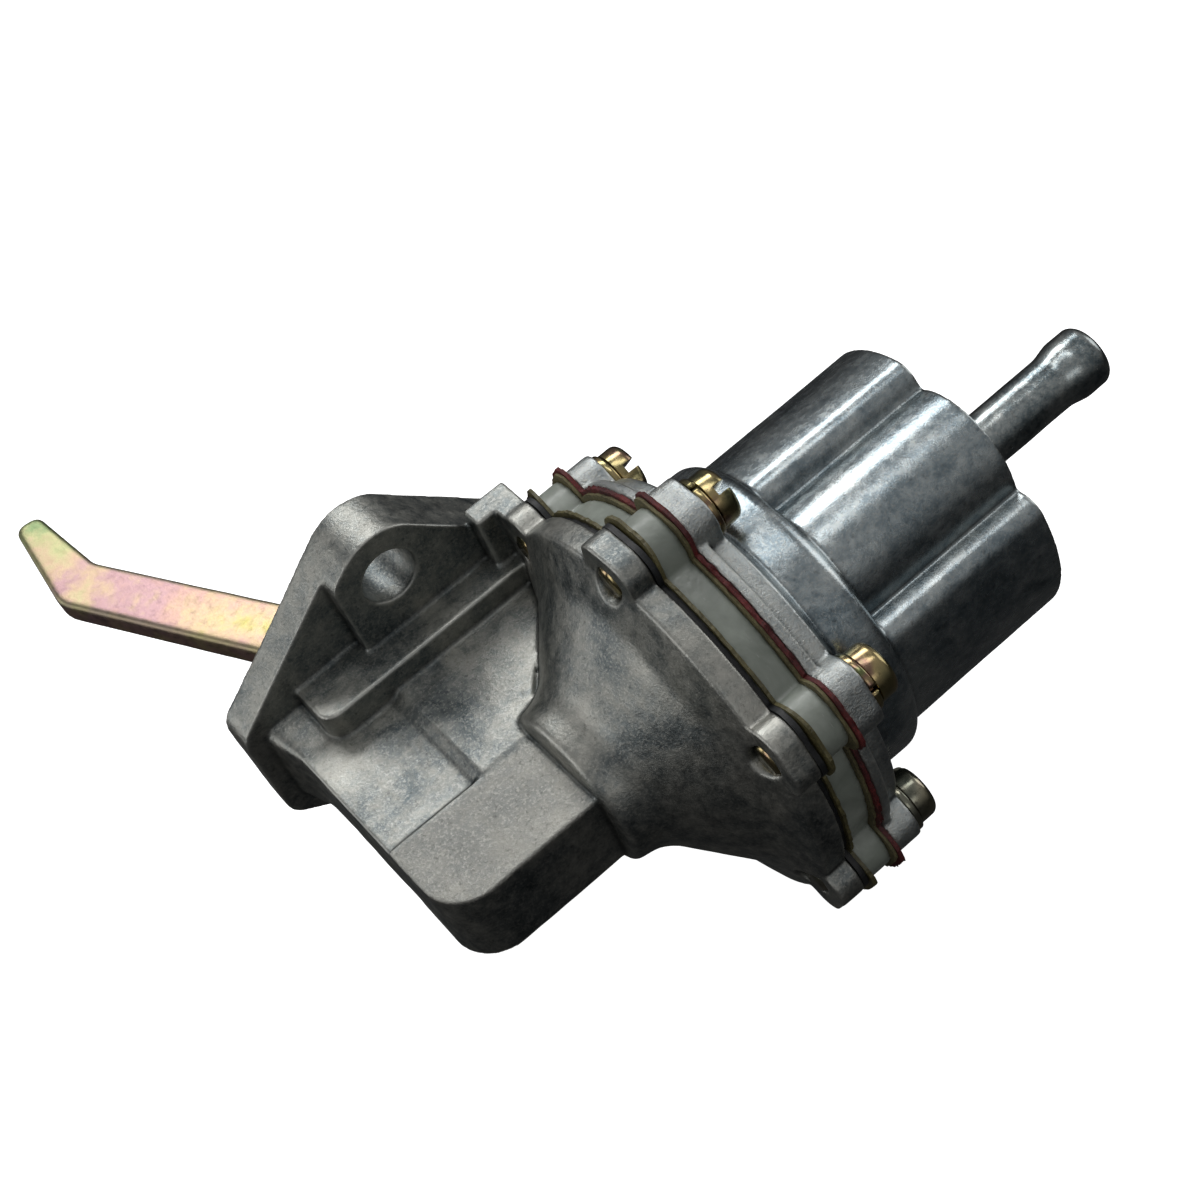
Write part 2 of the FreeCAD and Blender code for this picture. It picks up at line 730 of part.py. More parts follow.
def housing_root():
    """Flare where the housing grows out of the flange."""
    body = new_body("housing_root")
    flare = S["root_flare"]
    near = new_sketch(body, "root_near", "XZ_Plane", S["plate_thick"] / 2)
    wide = S["side_half"] + flare
    outline(
        near,
        [
            (S["side_x"] - flare, -wide, flare),
            (S["web_x"], -wide, 0),
            (S["web_x"], wide, 0),
            (S["side_x"] - flare, wide, flare),
        ],
    )
    far = new_sketch(body, "root_far", "XZ_Plane", S["plate_thick"] + S["root_deep"])
    slim = S["side_half"]
    small = S["arm_edge_round"]
    outline(
        far,
        [
            (S["side_x"], -slim, small),
            (S["web_x"], -slim, 0),
            (S["web_x"], slim, 0),
            (S["side_x"], slim, small),
        ],
    )
    doc.recompute()
    loft = body.newObject("PartDesign::AdditiveLoft", "root_loft")
    loft.Profile = near
    loft.Sections = [far]
    loft.Ruled = True
    return body


def rim_webs():
    """Web between flange and rim, and the squared first ears on it."""
    top = S["link_web_top"]
    half = S["link_web_half"]
    web = box("rim_web", S["link_web_x"], S["joint_x"], top - S["link_web_thick"], top, -half, half)
    pad_box = box("ear_pad", S["lower_ear_back_x"], S["joint_x"], S["ear_pad_end"], top, -half, half)
    return [web, pad_box]


def arm_space():
    """Space for arm, link and rod end, open at the mounting face."""
    body = new_body("arm_space")
    sketch = new_sketch(body, "arm_space_outline", "XY_Plane")
    outline(
        sketch,
        [
            (cavity_x, S["wall"], 0),
            (cavity_x, cavity_y, S["tail_round"] - S["wall"]),
            (S["bell_small_x"], cavity_y, 0),
            (S["bell_small_x"], S["tail_start_y"] + S["wall"], 0),
            (S["mouth_x"], -S["mouth_deep"], 0),
            (S["mouth_x"], S["wall"], 0),
        ],
    )
    pad(body, sketch, S["cavity_half"] * 2, both=True)
    return body


def pin_slot():
    """Slot for the pin, entered from the mounting face."""
    slot_r = S["pin_r"] + S["pin_gap"]
    half = S["pin_half"] + S["pin_end_gap"]
    floor = cylinder("slot_floor", slot_r, half * 2, V(0, 0, 1), S["pivot_x"], pivot_y, -half)
    way = box("slot_way", S["pivot_x"] - slot_r, S["pivot_x"] + slot_r, pivot_y, S["wall"], -half, half)
    return [floor, way]


def lower_body():
    solids = flange() + [bell(), lower_ears(), housing_root()] + housing() + rim_webs()
    solid = fuse("lower_casting", solids)
    holes = []
    for name, sign in (("bolt_hole_up", 1), ("bolt_hole_down", -1)):
        deep = S["boss_thick"] + S["wall"] * 2
        holes.append(
            cylinder(name, S["bolt_hole_d"] / 2, deep, V(0, -1, 0), 0, S["wall"], bolt_z * sign)
        )
    start = S["bell_small_x"] - S["wall"]
    guide = cylinder(
        "guide_bore", S["rod_r"] + S["rod_gap"], S["guide_thick"] + S["wall"] * 2, V(1, 0, 0), start, axis_y
    )
    tapped = S["screw_r"] + S["tapped_gap"]
    bores = []
    for k in range(EARS):
        low = S["lower_ear_back_x"] - S["wall"]
        bores.append(ring_cylinder("tapped_%d" % k, tapped, low, S["joint_x"], k))
    tool = fuse("lower_spaces", holes + [guide, bell_inside(), arm_space()] + pin_slot() + bores)
    return cut("lower_body", solid, tool)


def ring_cylinder(name, radius, x0, x1, index, circle_r=None, start=None, step=EAR_STEP):
    """Cylinder along X at one place of a ring about the pump's axis, with its angle in the sheet."""
    circle_r = circle_r or S["screw_circle_r"]
    start = start or S["screw_angle"]
    obj = doc.addObject("Part::Cylinder", name)
    obj.Placement = FreeCAD.Placement(V(0, 0, 0), FreeCAD.Rotation(V(0, 0, 1), V(1, 0, 0)))
    bind(obj, "Radius", radius)
    bind(obj, "Height", as_size(x1) - x0)
    bind(obj, "Placement.Base.x", x0)
    place_on_ring(obj, circle_r, start + step * index)
    return obj


# Diaphragms, valve plate and gaskets

def layer(name, x0, x1, rim, inner):
    """Flat layer with six ears; inner is the hole round the axis."""
    body = new_body(name)
    sketch = new_sketch(body, name + "_round", "YZ_Plane", x0)
    circle(sketch, 0, 0, rim)
    thick = as_size(x1) - x0
    pad(body, sketch, thick)
    add_ears(body, name + "_ear", x0, thick, S["gasket_ear_r"], S["gasket_ear_half"])
    add_screw_holes(body, name + "_holes", x0, S["screw_hole_r"])
    if inner is not None:
        sketch = new_sketch(body, name + "_middle", "YZ_Plane", x0)
        circle(sketch, 0, 0, inner)
        through(body, sketch)
    on_pump_axis(body, S["screw_angle"])
    return body


def gasket(name, x0, x1):
    """Layer with a hole under each lobe's bore."""
    blank = layer(name + "_blank", x0, x1, S["rim_r"], None)
    hole_r = S["lobe_bore_r"] + S["gasket_gap"]
    holes = []
    for k in range(LOBES):
        holes.append(
            ring_cylinder(name + "_hole_%d" % k, hole_r, as_size(x0) - S["wall"], as_size(x1) + S["wall"], k,
                          S["lobe_out"], S["lobe_angle"], LOBE_STEP)
        )
    return cut(name, blank, fuse(name + "_holes_all", holes))


def valve_plate():
    """Nylon plate with two valve towers that stand in the bores of opposite lobes."""
    body = new_body("plate_blank")
    sketch = new_sketch(body, "plate_round", "YZ_Plane", fuel_top)
    circle(sketch, 0, 0, S["plate_r"])
    pad(body, sketch, S["plate_valve_thick"])
    sketch = new_sketch(body, "plate_lug", "YZ_Plane", fuel_top)
    circle(sketch, S["screw_circle_r"], 0, S["plate_boss_r"])
    lug = pad(body, sketch, S["plate_valve_thick"])
    ring_of(body, sketch, [lug], EARS)
    add_screw_holes(body, "plate_screw_hole", fuel_top, S["screw_hole_r"])
    sketch = new_sketch(body, "plate_recess", "YZ_Plane", fuel_top)
    circle(sketch, 0, 0, S["plate_recess_r"])
    sink(body, sketch, S["plate_recess_deep"])
    on_pump_axis(body, S["screw_angle"])
    towers = []
    spaces = []
    tower_r = S["lobe_bore_r"] - S["tower_gap"]
    for k in (0, 2):
        place = (k, S["lobe_out"], S["lobe_angle"], LOBE_STEP)
        towers.append(ring_cylinder("tower_%d" % k, tower_r, plate_floor, tower_x, *place))
        tower_end = tower_x + S["wall"]
        spaces.append(
            ring_cylinder("tower_bore_%d" % k, S["tower_bore_r"], plate_top, tower_end, *place)
        )
        low = plate_floor - S["wall"]
        high = plate_top + S["wall"]
        for n in range(PORTS):
            spaces.append(port("plate_port_%d_%d" % (k, n), k, n, low, high))
    post_top = valve_seat_x - S["valve_thick"] - S["lift"]
    place = (2, S["lobe_out"], S["lobe_angle"], LOBE_STEP)
    post = ring_cylinder("inlet_post", S["post_r"], plate_floor, post_top, *place)
    solid = cut("plate_open", fuse("plate_solid", [body] + towers), fuse("plate_spaces", spaces))
    return fuse("valve_plate", [solid, post])


def port(name, lobe, index, x0, x1):
    """One of the small ports round a lobe's centre."""
    degrees = S["lobe_angle"] + LOBE_STEP * lobe
    spin = PORT_STEP * index
    obj = doc.addObject("Part::Cylinder", name)
    obj.Placement = FreeCAD.Placement(V(0, 0, 0), FreeCAD.Rotation(V(0, 0, 1), V(1, 0, 0)))
    bind(obj, "Radius", S["port_r"])
    bind(obj, "Height", as_size(x1) - x0)
    bind(obj, "Placement.Base.x", x0)
    turn_text = "1deg * %s" % degrees.formula
    y_text = "%s * cos(%s) + %s * cos(%r deg)" % (
        S["lobe_out"].formula, turn_text, S["port_circle_r"].formula, spin)
    z_text = "%s * sin(%s) + %s * sin(%r deg)" % (
        S["lobe_out"].formula, turn_text, S["port_circle_r"].formula, spin)
    obj.setExpression("Placement.Base.y", "%s + %s" % (axis_y.formula, y_text))
    obj.setExpression("Placement.Base.z", z_text)
    return obj


valve_seat_x = tower_x - S["spigot_long"]


def valve_cap(name, lobe, post):
    """Cap on a valve tower, with ports and, where asked, a stop post for the disc below it."""
    place = (lobe, S["lobe_out"], S["lobe_angle"], LOBE_STEP)
    pieces = [
        ring_cylinder(name + "_flange", S["cap_r"], tower_x, tower_x + S["cap_thick"], *place),
        ring_cylinder(name + "_spigot", S["tower_bore_r"] - S["spigot_gap"], valve_seat_x, tower_x, *place),
    ]
    solid = fuse(name + "_solid", pieces)
    low = valve_seat_x - S["wall"]
    high = tower_x + S["cap_thick"] + S["wall"]
    holes = [port(name + "_port_%d" % n, lobe, n, low, high) for n in range(PORTS)]
    if not post:
        return cut(name, solid, fuse(name + "_ports", holes))
    opened = cut(name + "_opened", solid, fuse(name + "_ports", holes))
    post_low = plate_top + S["valve_thick"] + S["lift"]
    return fuse(name, [opened, ring_cylinder(name + "_post", S["post_r"], post_low, valve_seat_x, *place)])


def lobe_part(name, radius, x0, x1, lobe):
    """Cylinder on a lobe's centre line."""
    obj = ring_cylinder(name, radius, x0, x1, lobe, S["lobe_out"], S["lobe_angle"], LOBE_STEP)
    obj.Label = name
    return obj


def lobe_spring(name, x0, x1, lobe):
    """Small spring on a lobe's centre line."""
    spring = coil(
        name, S["valve_spring_r"], S["valve_spring_wire"], S["valve_spring_turns"],
        as_size(x1) - x0, V(1, 0, 0), x0,
    )
    place_on_ring(spring, S["lobe_out"], S["lobe_angle"] + LOBE_STEP * lobe)
    return spring


def inlet_screen():
    """Thimble of fine gauze over the inlet valve's cap."""
    foot = tower_x + S["cap_thick"]
    outer = lobe_part("screen_outer", S["screen_r"], foot, foot + S["screen_high"], 2)
    inner = lobe_part(
        "screen_inner", S["screen_r"] - S["screen_thick"], foot - S["wall"],
        foot + S["screen_high"] - S["screen_thick"], 2,
    )
    return cut("inlet_screen", outer, inner)


# Upper body

def cover_turned():
    body = new_body("cover_turned")
    sketch = new_sketch(body, "cover_profile", "XY_Plane")
    outline(
        sketch,
        [
            (cover_x, 0, 0),
            (cover_x + S["bowl_high"], 0, 0),
            (cover_x + S["bowl_high"], S["bowl_r"], S["bowl_round"]),
            (cover_x + S["bowl_foot_high"], S["bowl_r"], 0),
            (cover_x + S["cover_band_high"], S["cover_band_r"], 0),
            (cover_x + S["cover_step"], S["cover_band_r"], 0),
            (cover_x + S["cover_step"], S["rim_r"], 0),
            (cover_x, S["rim_r"], 0),
        ],
    )
    turn(body, sketch)
    on_pump_axis(body)
    return body


def cover_ears():
    body = new_body("cover_ears")
    add_ears(body, "cover_ear", cover_x, S["cover_ear_thick"], S["cover_ear_r"], S["cover_ear_half"])
    on_pump_axis(body, S["screw_angle"])
    return body


def dome():
    """Round dome with two notches on opposite sides, and a valve lobe that stands in each notch."""
    body = new_body("dome")
    start = cover_x + S["bowl_high"] - S["wall"]
    long = S["dome_top_x"] - start
    sketch = new_sketch(body, "dome_round", "YZ_Plane", start)
    circle(sketch, 0, 0, S["dome_r"])
    pad(body, sketch, long)
    reach = S["dome_r"] + S["wall"]
    half = (reach - S["notch_apex"]) * S["notch_slope"]
    sketch = new_sketch(body, "dome_notch", "YZ_Plane", start)
    outline(sketch, [(S["notch_apex"], 0, 0), (reach, -half, 0), (reach, half, 0)])
    notch = through(body, sketch)
    notches = ring_of(body, sketch, [notch], 2)
    doc.recompute()
    corners = [
        "Edge%d" % (n + 1)
        for n, edge in enumerate(notches.Shape.Edges)
        if edge.Curve.TypeId == "Part::GeomLine" and edge.Length > long.value - 0.001
        and abs(math.hypot(edge.CenterOfMass.y, edge.CenterOfMass.z) - S["dome_r"].value) < 0.001
    ]
    soften = body.newObject("PartDesign::Fillet", "dome_soft_corners")
    soften.Base = (notches, corners)
    bind(soften, "Radius", S["notch_round"])
    sketch = new_sketch(body, "dome_lobe", "YZ_Plane", start)
    circle(sketch, S["lobe_out"], 0, S["lobe_r"])
    lobe = pad(body, sketch, long)
    ring_of(body, sketch, [lobe], 2)
    on_pump_axis(body, S["lobe_angle"])
    return body


def along_lobe(name, radius, near, far, lobe, x):
    """Cylinder that points away from the pump's axis through a lobe."""
    degrees = S["lobe_angle"] + LOBE_STEP * lobe
    obj = doc.addObject("Part::Cylinder", name)
    away = V(0, cosine(degrees.value), sine(degrees.value))
    obj.Placement = FreeCAD.Placement(V(0, 0, 0), FreeCAD.Rotation(V(0, 0, 1), away))
    bind(obj, "Radius", radius)
    bind(obj, "Height", as_size(far) - near)
    bind(obj, "Placement.Base.x", x)
    place_on_ring(obj, near, degrees)
    return obj


def upper_body():
    """Casting with six ears, a bowl and the dome; the bores open towards the valve plate."""
    start = cover_x + S["bowl_high"] - S["wall"]
    boss = along_lobe("inlet_boss", S["inlet_boss_r"], S["lobe_out"], S["inlet_boss_end"], 2, S["inlet_x"])
    rib_angle = S["lobe_angle"] + S["rib_turn"]
    rib = ring_cylinder(
        "valley_rib", S["rib_r"], start, S["dome_top_x"], 0, S["rib_out"], rib_angle
    )
    solid = fuse("upper_casting", [cover_turned(), cover_ears(), dome(), boss, rib])
    spaces = []
    low = cover_x - S["wall"]
    ceiling = S["dome_top_x"] - S["dome_roof"]
    for k in range(LOBES):
        spaces.append(lobe_part("lobe_bore_%d" % k, S["lobe_bore_r"], low, ceiling, k))
    for k in range(EARS):
        spaces.append(ring_cylinder("cover_hole_%d" % k, S["screw_hole_r"], low, cover_ear_x + S["wall"], k))
        seat_r = S["washer_r"] + S["seat_gap"]
        spaces.append(ring_cylinder("cover_seat_%d" % k, seat_r, cover_ear_x, head_x + S["wall"], k))
    socket_r = S["pipe_r"] + S["fit_gap"]
    spaces.append(
        ring_cylinder("outlet_socket", socket_r, ceiling - S["wall"], S["dome_top_x"] + S["wall"], 0,
                      S["lobe_out"], S["lobe_angle"] + S["pipe_turn"])
    )
    spaces.append(
        along_lobe("inlet_socket", socket_r, S["lobe_out"], S["inlet_boss_end"] + S["wall"], 2, S["inlet_x"])
    )
    return cut("upper_body", solid, fuse("upper_spaces", spaces))


# Hose pipes

def hose_pipe(name, long):
    """Beaded pipe along its own +X, from 0 to its rounded end."""
    body = new_body(name)
    sketch = new_sketch(body, name + "_profile", "XY_Plane")
    bead_start = long - S["bead_long"]
    outline(
        sketch,
        [
            (0, S["pipe_bore_r"], 0),
            (long, S["pipe_bore_r"], 0),
            (long, S["bead_r"], S["bead_round"]),
            (bead_start, S["bead_r"], S["bead_blend"]),
            (bead_start - S["bead_slope"], S["pipe_r"], S["bead_blend"]),
            (0, S["pipe_r"], 0),
        ],
    )
    turn(body, sketch)
    return body


def outlet_pipe():
    """Pipe pressed into the end of the outlet valve's lobe, a little off the lobe's middle."""
    body = hose_pipe("outlet_pipe", S["dome_roof"] + S["pipe_out"])
    bind(body, "Placement.Base.x", S["dome_top_x"] - S["dome_roof"])
    place_on_ring(body, S["lobe_out"], S["lobe_angle"] + S["pipe_turn"])
    return body


def inlet_pipe():
    """Second pipe, square to the axis through the lobe that faces away."""
    near = S["lobe_out"] + S["lobe_bore_r"]
    body = hose_pipe("inlet_pipe", S["inlet_boss_end"] - near + S["inlet_out"])
    degrees = S["lobe_angle"] + 180.0
    away = V(0, cosine(degrees.value), sine(degrees.value))
    body.Placement = FreeCAD.Placement(V(0, 0, 0), FreeCAD.Rotation(V(1, 0, 0), away))
    bind(body, "Placement.Base.x", S["inlet_x"])
    place_on_ring(body, near, degrees)
    return body


# Screws and washers

def screw_blank(k):
    """Shank and head in one turned piece, before the slot is cut."""
    body = new_body("screw_blank_%d" % k)
    sketch = new_sketch(body, "screw_profile_%d" % k, "XY_Plane")
    tip = S["lower_ear_back_x"] + S["tip_recess"]
    top = head_x + S["head_high"]
    outline(
        sketch,
        [
            (tip, 0, 0),
            (top, 0, 0),
            (top, S["head_r"], S["head_round"]),
            (head_x, S["head_r"], 0),
            (head_x, S["screw_r"], 0),
            (tip, S["screw_r"], 0),
        ],
    )
    turn(body, sketch)
    place_on_ring(body, S["screw_circle_r"], S["screw_angle"] + EAR_STEP * k)
    return body


def cover_screws():
    screws = []
    for k in range(EARS):
        slot = box(
            "slot_%d" % k, head_x + S["head_high"] - S["head_slot_deep"], head_x + S["head_high"] + S["wall"],
            -S["head_r"] * 2, S["head_r"] * 2, -S["head_slot_wide"] / 2, S["head_slot_wide"] / 2,
        )
        place_slot(slot, k)
        screws.append(cut("screw_%d" % k, screw_blank(k), slot))
    return group("cover_screws", screws)


def place_slot(slot, k):
    """Turns a screw's slot to its own angle about the screw's axis."""
    spin = SLOT_ANGLES[k]
    degrees = S["screw_angle"] + EAR_STEP * k
    ring = S["screw_circle_r"].formula
    half = "2 * %s" % S["head_r"].formula
    width = "0.5 * %s" % S["head_slot_wide"].formula
    slot.Placement = FreeCAD.Placement(V(0, 0, 0), FreeCAD.Rotation(V(1, 0, 0), spin))
    bind(slot, "Placement.Base.x", head_x + S["head_high"] - S["head_slot_deep"])
    y_text = "%s + %s * cos(1deg * %s) - %s * cos(%r deg) + %s * sin(%r deg)" % (
        axis_y.formula, ring, degrees.formula, half, spin, width, spin)
    z_text = "%s * sin(1deg * %s) - %s * sin(%r deg) - %s * cos(%r deg)" % (
        ring, degrees.formula, half, spin, width, spin)
    slot.setExpression("Placement.Base.y", y_text)
    slot.setExpression("Placement.Base.z", z_text)


def spring_washers():
    washers = []
    for k in range(EARS):
        outer = ring_cylinder("washer_outer_%d" % k, S["washer_r"], cover_ear_x, head_x, k)
        low = cover_ear_x - S["wall"]
        inner = ring_cylinder("washer_inner_%d" % k, S["screw_hole_r"], low, head_x + S["wall"], k)
        split = washer_gap("washer_split_%d" % k, k)
        washers.append(cut("washer_%d" % k, outer, fuse("washer_space_%d" % k, [inner, split])))
    return group("spring_washers", washers)


def washer_gap(name, k):
    """Cutter through one washer, on the side away from the pump's axis."""
    degrees = S["screw_angle"] + EAR_STEP * k
    obj = doc.addObject("Part::Box", name)
    away = FreeCAD.Rotation(V(1, 0, 0), degrees.value)
    obj.Placement = FreeCAD.Placement(V(0, 0, 0), away)
    bind(obj, "Length", S["washer_thick"] + S["wall"])
    bind(obj, "Width", S["washer_r"] * 2)
    bind(obj, "Height", S["washer_split"])
    bind(obj, "Placement.Base.x", cover_ear_x - S["wall"] / 2)
    place_on_ring(obj, S["screw_circle_r"], degrees)
    return obj


# Rocker arm, link and pin

def rocker_arm():
    """Steel lever: a bent outer arm with a cam pad, a hub round the pin and a toe inside."""
    body = new_body("rocker_arm")
    sketch = new_sketch(body, "arm_outline", "XY_Plane")
    hub_left = S["pivot_x"] - S["arm_hub_r"]
    hub_right = S["pivot_x"] + S["arm_hub_r"]
    mouth_right = S["arm_mouth_x"] + S["arm_mouth_wide"]
    soft = S["arm_hub_r"] - S["arm_edge_round"]
    small = S["arm_edge_round"]
    outline(
        sketch,
        [
            (S["arm_tip_x"], S["arm_tip_y"], small * 2),
            (S["arm_tip_x"] - S["arm_tip_wide"], S["arm_tip_y"] + small, small * 2),
            (S["arm_bend_x"], S["arm_bend_y"], S["arm_hub_r"]),
            (S["arm_flare_x"], S["arm_flare_y"], S["arm_hub_r"]),
            (S["arm_mouth_x"], 0, small),
            (hub_left, pivot_y, small),
            (S["arm_toe_x"], pivot_y - S["arm_hub_r"], small),
            (S["arm_toe_x"], S["arm_toe_end"], small),
            (S["pivot_x"] - S["arm_edge_round"] * 3, S["arm_toe_end"], small * 2),
            (S["arm_heel_x"], S["arm_heel_y"], small * 2),
            (hub_right, pivot_y - S["arm_hub_r"] / 2, soft / 2),
            (hub_right, pivot_y + S["arm_hub_r"] / 2, soft / 2),
            (mouth_right, 0, small),
            (S["arm_inner_bend_x"], S["arm_inner_bend_y"], S["arm_hub_r"]),
        ],
    )
    plate = pad(body, sketch, S["arm_thick"], both=True)
    doc.recompute()
    flat = [
        "Face%d" % (n + 1)
        for n, face in enumerate(plate.Shape.Faces)
        if abs(abs(face.CenterOfMass.z) - S["arm_thick"].value / 2) < 0.001
    ]
    soften = body.newObject("PartDesign::Fillet", "arm_soft_edges")
    soften.Base = (plate, flat)
    bind(soften, "Radius", S["arm_edge_round"])
    sketch = new_sketch(body, "arm_pin_hole", "XY_Plane")
    circle(sketch, S["pivot_x"], pivot_y, S["pin_r"] + S["pin_gap"])
    through(body, sketch)
    return body


def link_lever():
    """Two sheet cheeks joined by a bridge behind the arm's toe; their prongs pull the rod's collar."""
    pieces = []
    hub_left = S["pivot_x"] - S["pivot_washer_r"]
    hub_right = S["pivot_x"] + S["pivot_washer_r"]
    prong_x = S["link_fork_x"] + S["link_fork_wide"]
    prong_end = axis_y - S["link_fork_past"]
    bridge_x = S["arm_toe_x"] - S["link_bridge_gap"]
    bridge_far = bridge_x - S["link_plate"]
    bridge_low = S["arm_toe_end"]
    bridge_high = bridge_low + S["link_bridge_long"]
    round_r = S["pivot_washer_r"] - S["arm_edge_round"]
    small = S["arm_edge_round"]
    corners = [
        (hub_right, pivot_y + S["pivot_washer_r"], round_r),
        (hub_left, pivot_y + S["pivot_washer_r"], round_r),
        (hub_left, bridge_high + small, small),
        (bridge_far, bridge_high, 0),
        (bridge_far, bridge_low, 0),
        (S["link_fork_x"], bridge_low - small, 0),
        (S["link_fork_x"], prong_end, small),
        (prong_x, prong_end, small),
        (prong_x, bridge_low - small, small),
        (hub_right - small, bridge_high + small * 2, small * 2),
    ]
    low = S["link_inner_half"]
    for name, offset in (("cheek_up", low), ("cheek_down", -low - S["link_plate"])):
        body = new_body(name)
        sketch = new_sketch(body, name + "_outline", "XY_Plane", offset)
        outline(sketch, corners)
        pad(body, sketch, S["link_plate"])
        sketch = new_sketch(body, name + "_hole", "XY_Plane", offset)
        circle(sketch, S["pivot_x"], pivot_y, S["pin_r"] + S["pin_gap"])
        through(body, sketch)
        pieces.append(body)
    pieces.append(box("link_bridge", bridge_far, bridge_x, bridge_low, bridge_high, -low, low))
    return fuse("link_lever", pieces)


def pivot_pin():
    low = -S["pin_half"]
    pin = cylinder("pivot_pin", S["pin_r"], -low * 2, V(0, 0, 1), S["pivot_x"], pivot_y, low)
    pin.Label = "pivot_pin"
    return pin


def pivot_washers():
    """One washer each side of the arm, inside the link's cheeks."""
    near = S["arm_thick"] / 2 + S["washer_gap"]
    far = S["link_inner_half"] - S["washer_gap"]
    rings = []
    for name, z in (("pivot_washer_up", near), ("pivot_washer_down", -far)):
        body = new_body(name)
        sketch = new_sketch(body, name + "_outline", "XY_Plane", z)
        circle(sketch, S["pivot_x"], pivot_y, S["pivot_washer_r"])
        circle(sketch, S["pivot_x"], pivot_y, S["pin_r"] + S["pin_gap"] / 2)
        pad(body, sketch, far - near)
        rings.append(body)
    return group("pivot_washers", rings)


# Rod, seal, discs

def pull_rod():
    """Rod with its collar at the link's fork and its riveted head over the upper disc."""
    body = new_body("pull_rod")
    sketch = new_sketch(body, "rod_profile", "XY_Plane")
    collar_x = S["link_fork_x"] - S["collar_gap"]
    under_disc = S["joint_x"] - S["disc_thick"]
    over_disc = fuel_top + S["disc_thick"]
    outline(
        sketch,
        [
            (collar_x - S["collar_thick"], 0, 0),
            (over_disc + S["rivet_thick"], 0, 0),
            (over_disc + S["rivet_thick"], S["rivet_r"], S["rivet_thick"] / 2),
            (over_disc, S["rivet_r"], 0),
            (over_disc, S["stub_r"], 0),
            (under_disc, S["stub_r"], 0),
            (under_disc, S["rod_r"], 0),
            (collar_x, S["rod_r"], 0),
            (collar_x, S["collar_r"], 0),
            (collar_x - S["collar_thick"], S["collar_r"], 0),
        ],
    )
    turn(body, sketch)
    on_pump_axis(body)
    return body


def lower_disc():
    """Disc under the diaphragms, with its rim turned away from them."""
    body = new_body("lower_disc")
    sketch = new_sketch(body, "lower_disc_profile", "XY_Plane")
    top = S["joint_x"]
    low = top - S["disc_thick"]
    hole = S["stub_r"] + S["fit_gap"]
    outline(
        sketch,
        [
            (low, hole, 0),
            (top, hole, 0),
            (top, S["disc_r"], S["disc_thick"] / 2),
            (low - S["disc_rim"], S["disc_r"], 0),
            (low - S["disc_rim"], S["disc_r"] - S["disc_thick"], 0),
            (low, S["disc_r"] - S["disc_thick"], 0),
        ],
    )
    turn(body, sketch)
    on_pump_axis(body)
    return body


retainer_x = S["bell_small_x"] + S["guide_thick"] + S["seal_thick"]
spring_foot = retainer_x + S["retainer_thick"]


def main_parts():
    """Every node of the pump, in order."""
    gap = S["fit_gap"]
    seal_hole = S["rod_r"] + S["rod_gap"] / 2
    disc_top = plate_top + S["valve_thick"]
    inlet_disc_x = valve_seat_x - S["valve_thick"]
    return [
        lower_body(),
        upper_body(),
        outlet_pipe(),
        inlet_pipe(),
        layer("guard_diaphragm", S["joint_x"], guard_top, S["rim_r"], S["stub_r"] + gap),
        layer("fuel_diaphragm", guard_top, fuel_top, S["rim_r"], S["stub_r"] + gap),
        valve_plate(),
        gasket("plate_gasket", plate_top, pale_top),
        gasket("cover_gasket", pale_top, cover_x),
        cover_screws(),
        spring_washers(),
        rocker_arm(),
        link_lever(),
        pivot_pin(),
        pivot_washers(),
        coil("arm_return_spring", S["arm_spring_r"], S["arm_spring_wire"], S["arm_spring_turns"],
             S["arm_toe_x"] - cavity_x, V(1, 0, 0), cavity_x, S["arm_spring_y"]),
        pull_rod(),
        lower_disc(),
        tube("upper_disc", S["disc_r"], S["stub_r"] + gap, fuel_top, fuel_top + S["disc_thick"]),
        tube("rod_seal", S["seal_r"], seal_hole, retainer_x - S["seal_thick"], retainer_x),
        tube("seal_retainer", S["retainer_r"], S["retainer_hole_r"], retainer_x, spring_foot),
        coil("diaphragm_spring", S["main_spring_r"], S["main_spring_wire"], S["main_spring_turns"],
             S["joint_x"] - S["disc_thick"] - spring_foot, V(1, 0, 0), spring_foot, axis_y),
        lobe_part("outlet_valve_disc", S["valve_r"], plate_top, disc_top, 0),
        lobe_spring("outlet_valve_spring", disc_top, valve_seat_x, 0),
        valve_cap("outlet_valve_cage", 0, True),
        lobe_part("inlet_valve_disc", S["valve_r"], inlet_disc_x, valve_seat_x, 2),
        lobe_spring("inlet_valve_spring", plate_top, inlet_disc_x, 2),
        valve_cap("inlet_valve_seat", 2, False),
        inlet_screen(),
    ]


def check(nodes):
    """Stops if any object failed, or if a node has no sound shape."""
    for obj in doc.Objects:
        if "Invalid" in obj.State or "Error" in obj.State:
            raise RuntimeError("%s failed: %s" % (obj.Name, obj.State))
    for node in nodes:
        if node.Shape.isNull() or not node.Shape.isValid() or not node.Shape.Solids:
            raise RuntimeError("%s has no sound shape" % node.Label)


def write(nodes):
    os.makedirs("parts", exist_ok=True)
    for node in nodes:
        node.Shape.exportStep("parts/%s.step" % node.Label)


nodes = main_parts()
doc.recompute()
check(nodes)
write(nodes)
for node in nodes:
    bounds = node.Shape.BoundBox
    print("%-20s solids %d volume %.1f  X %.1f..%.1f Y %.1f..%.1f Z %.1f..%.1f" % (
        node.Label, len(node.Shape.Solids), node.Shape.Volume, bounds.XMin, bounds.XMax,
        bounds.YMin, bounds.YMax, bounds.ZMin, bounds.ZMax))
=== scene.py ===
import math

import bmesh
import bpy
import numpy as np
from mathutils import Matrix, Quaternion, Vector, noise


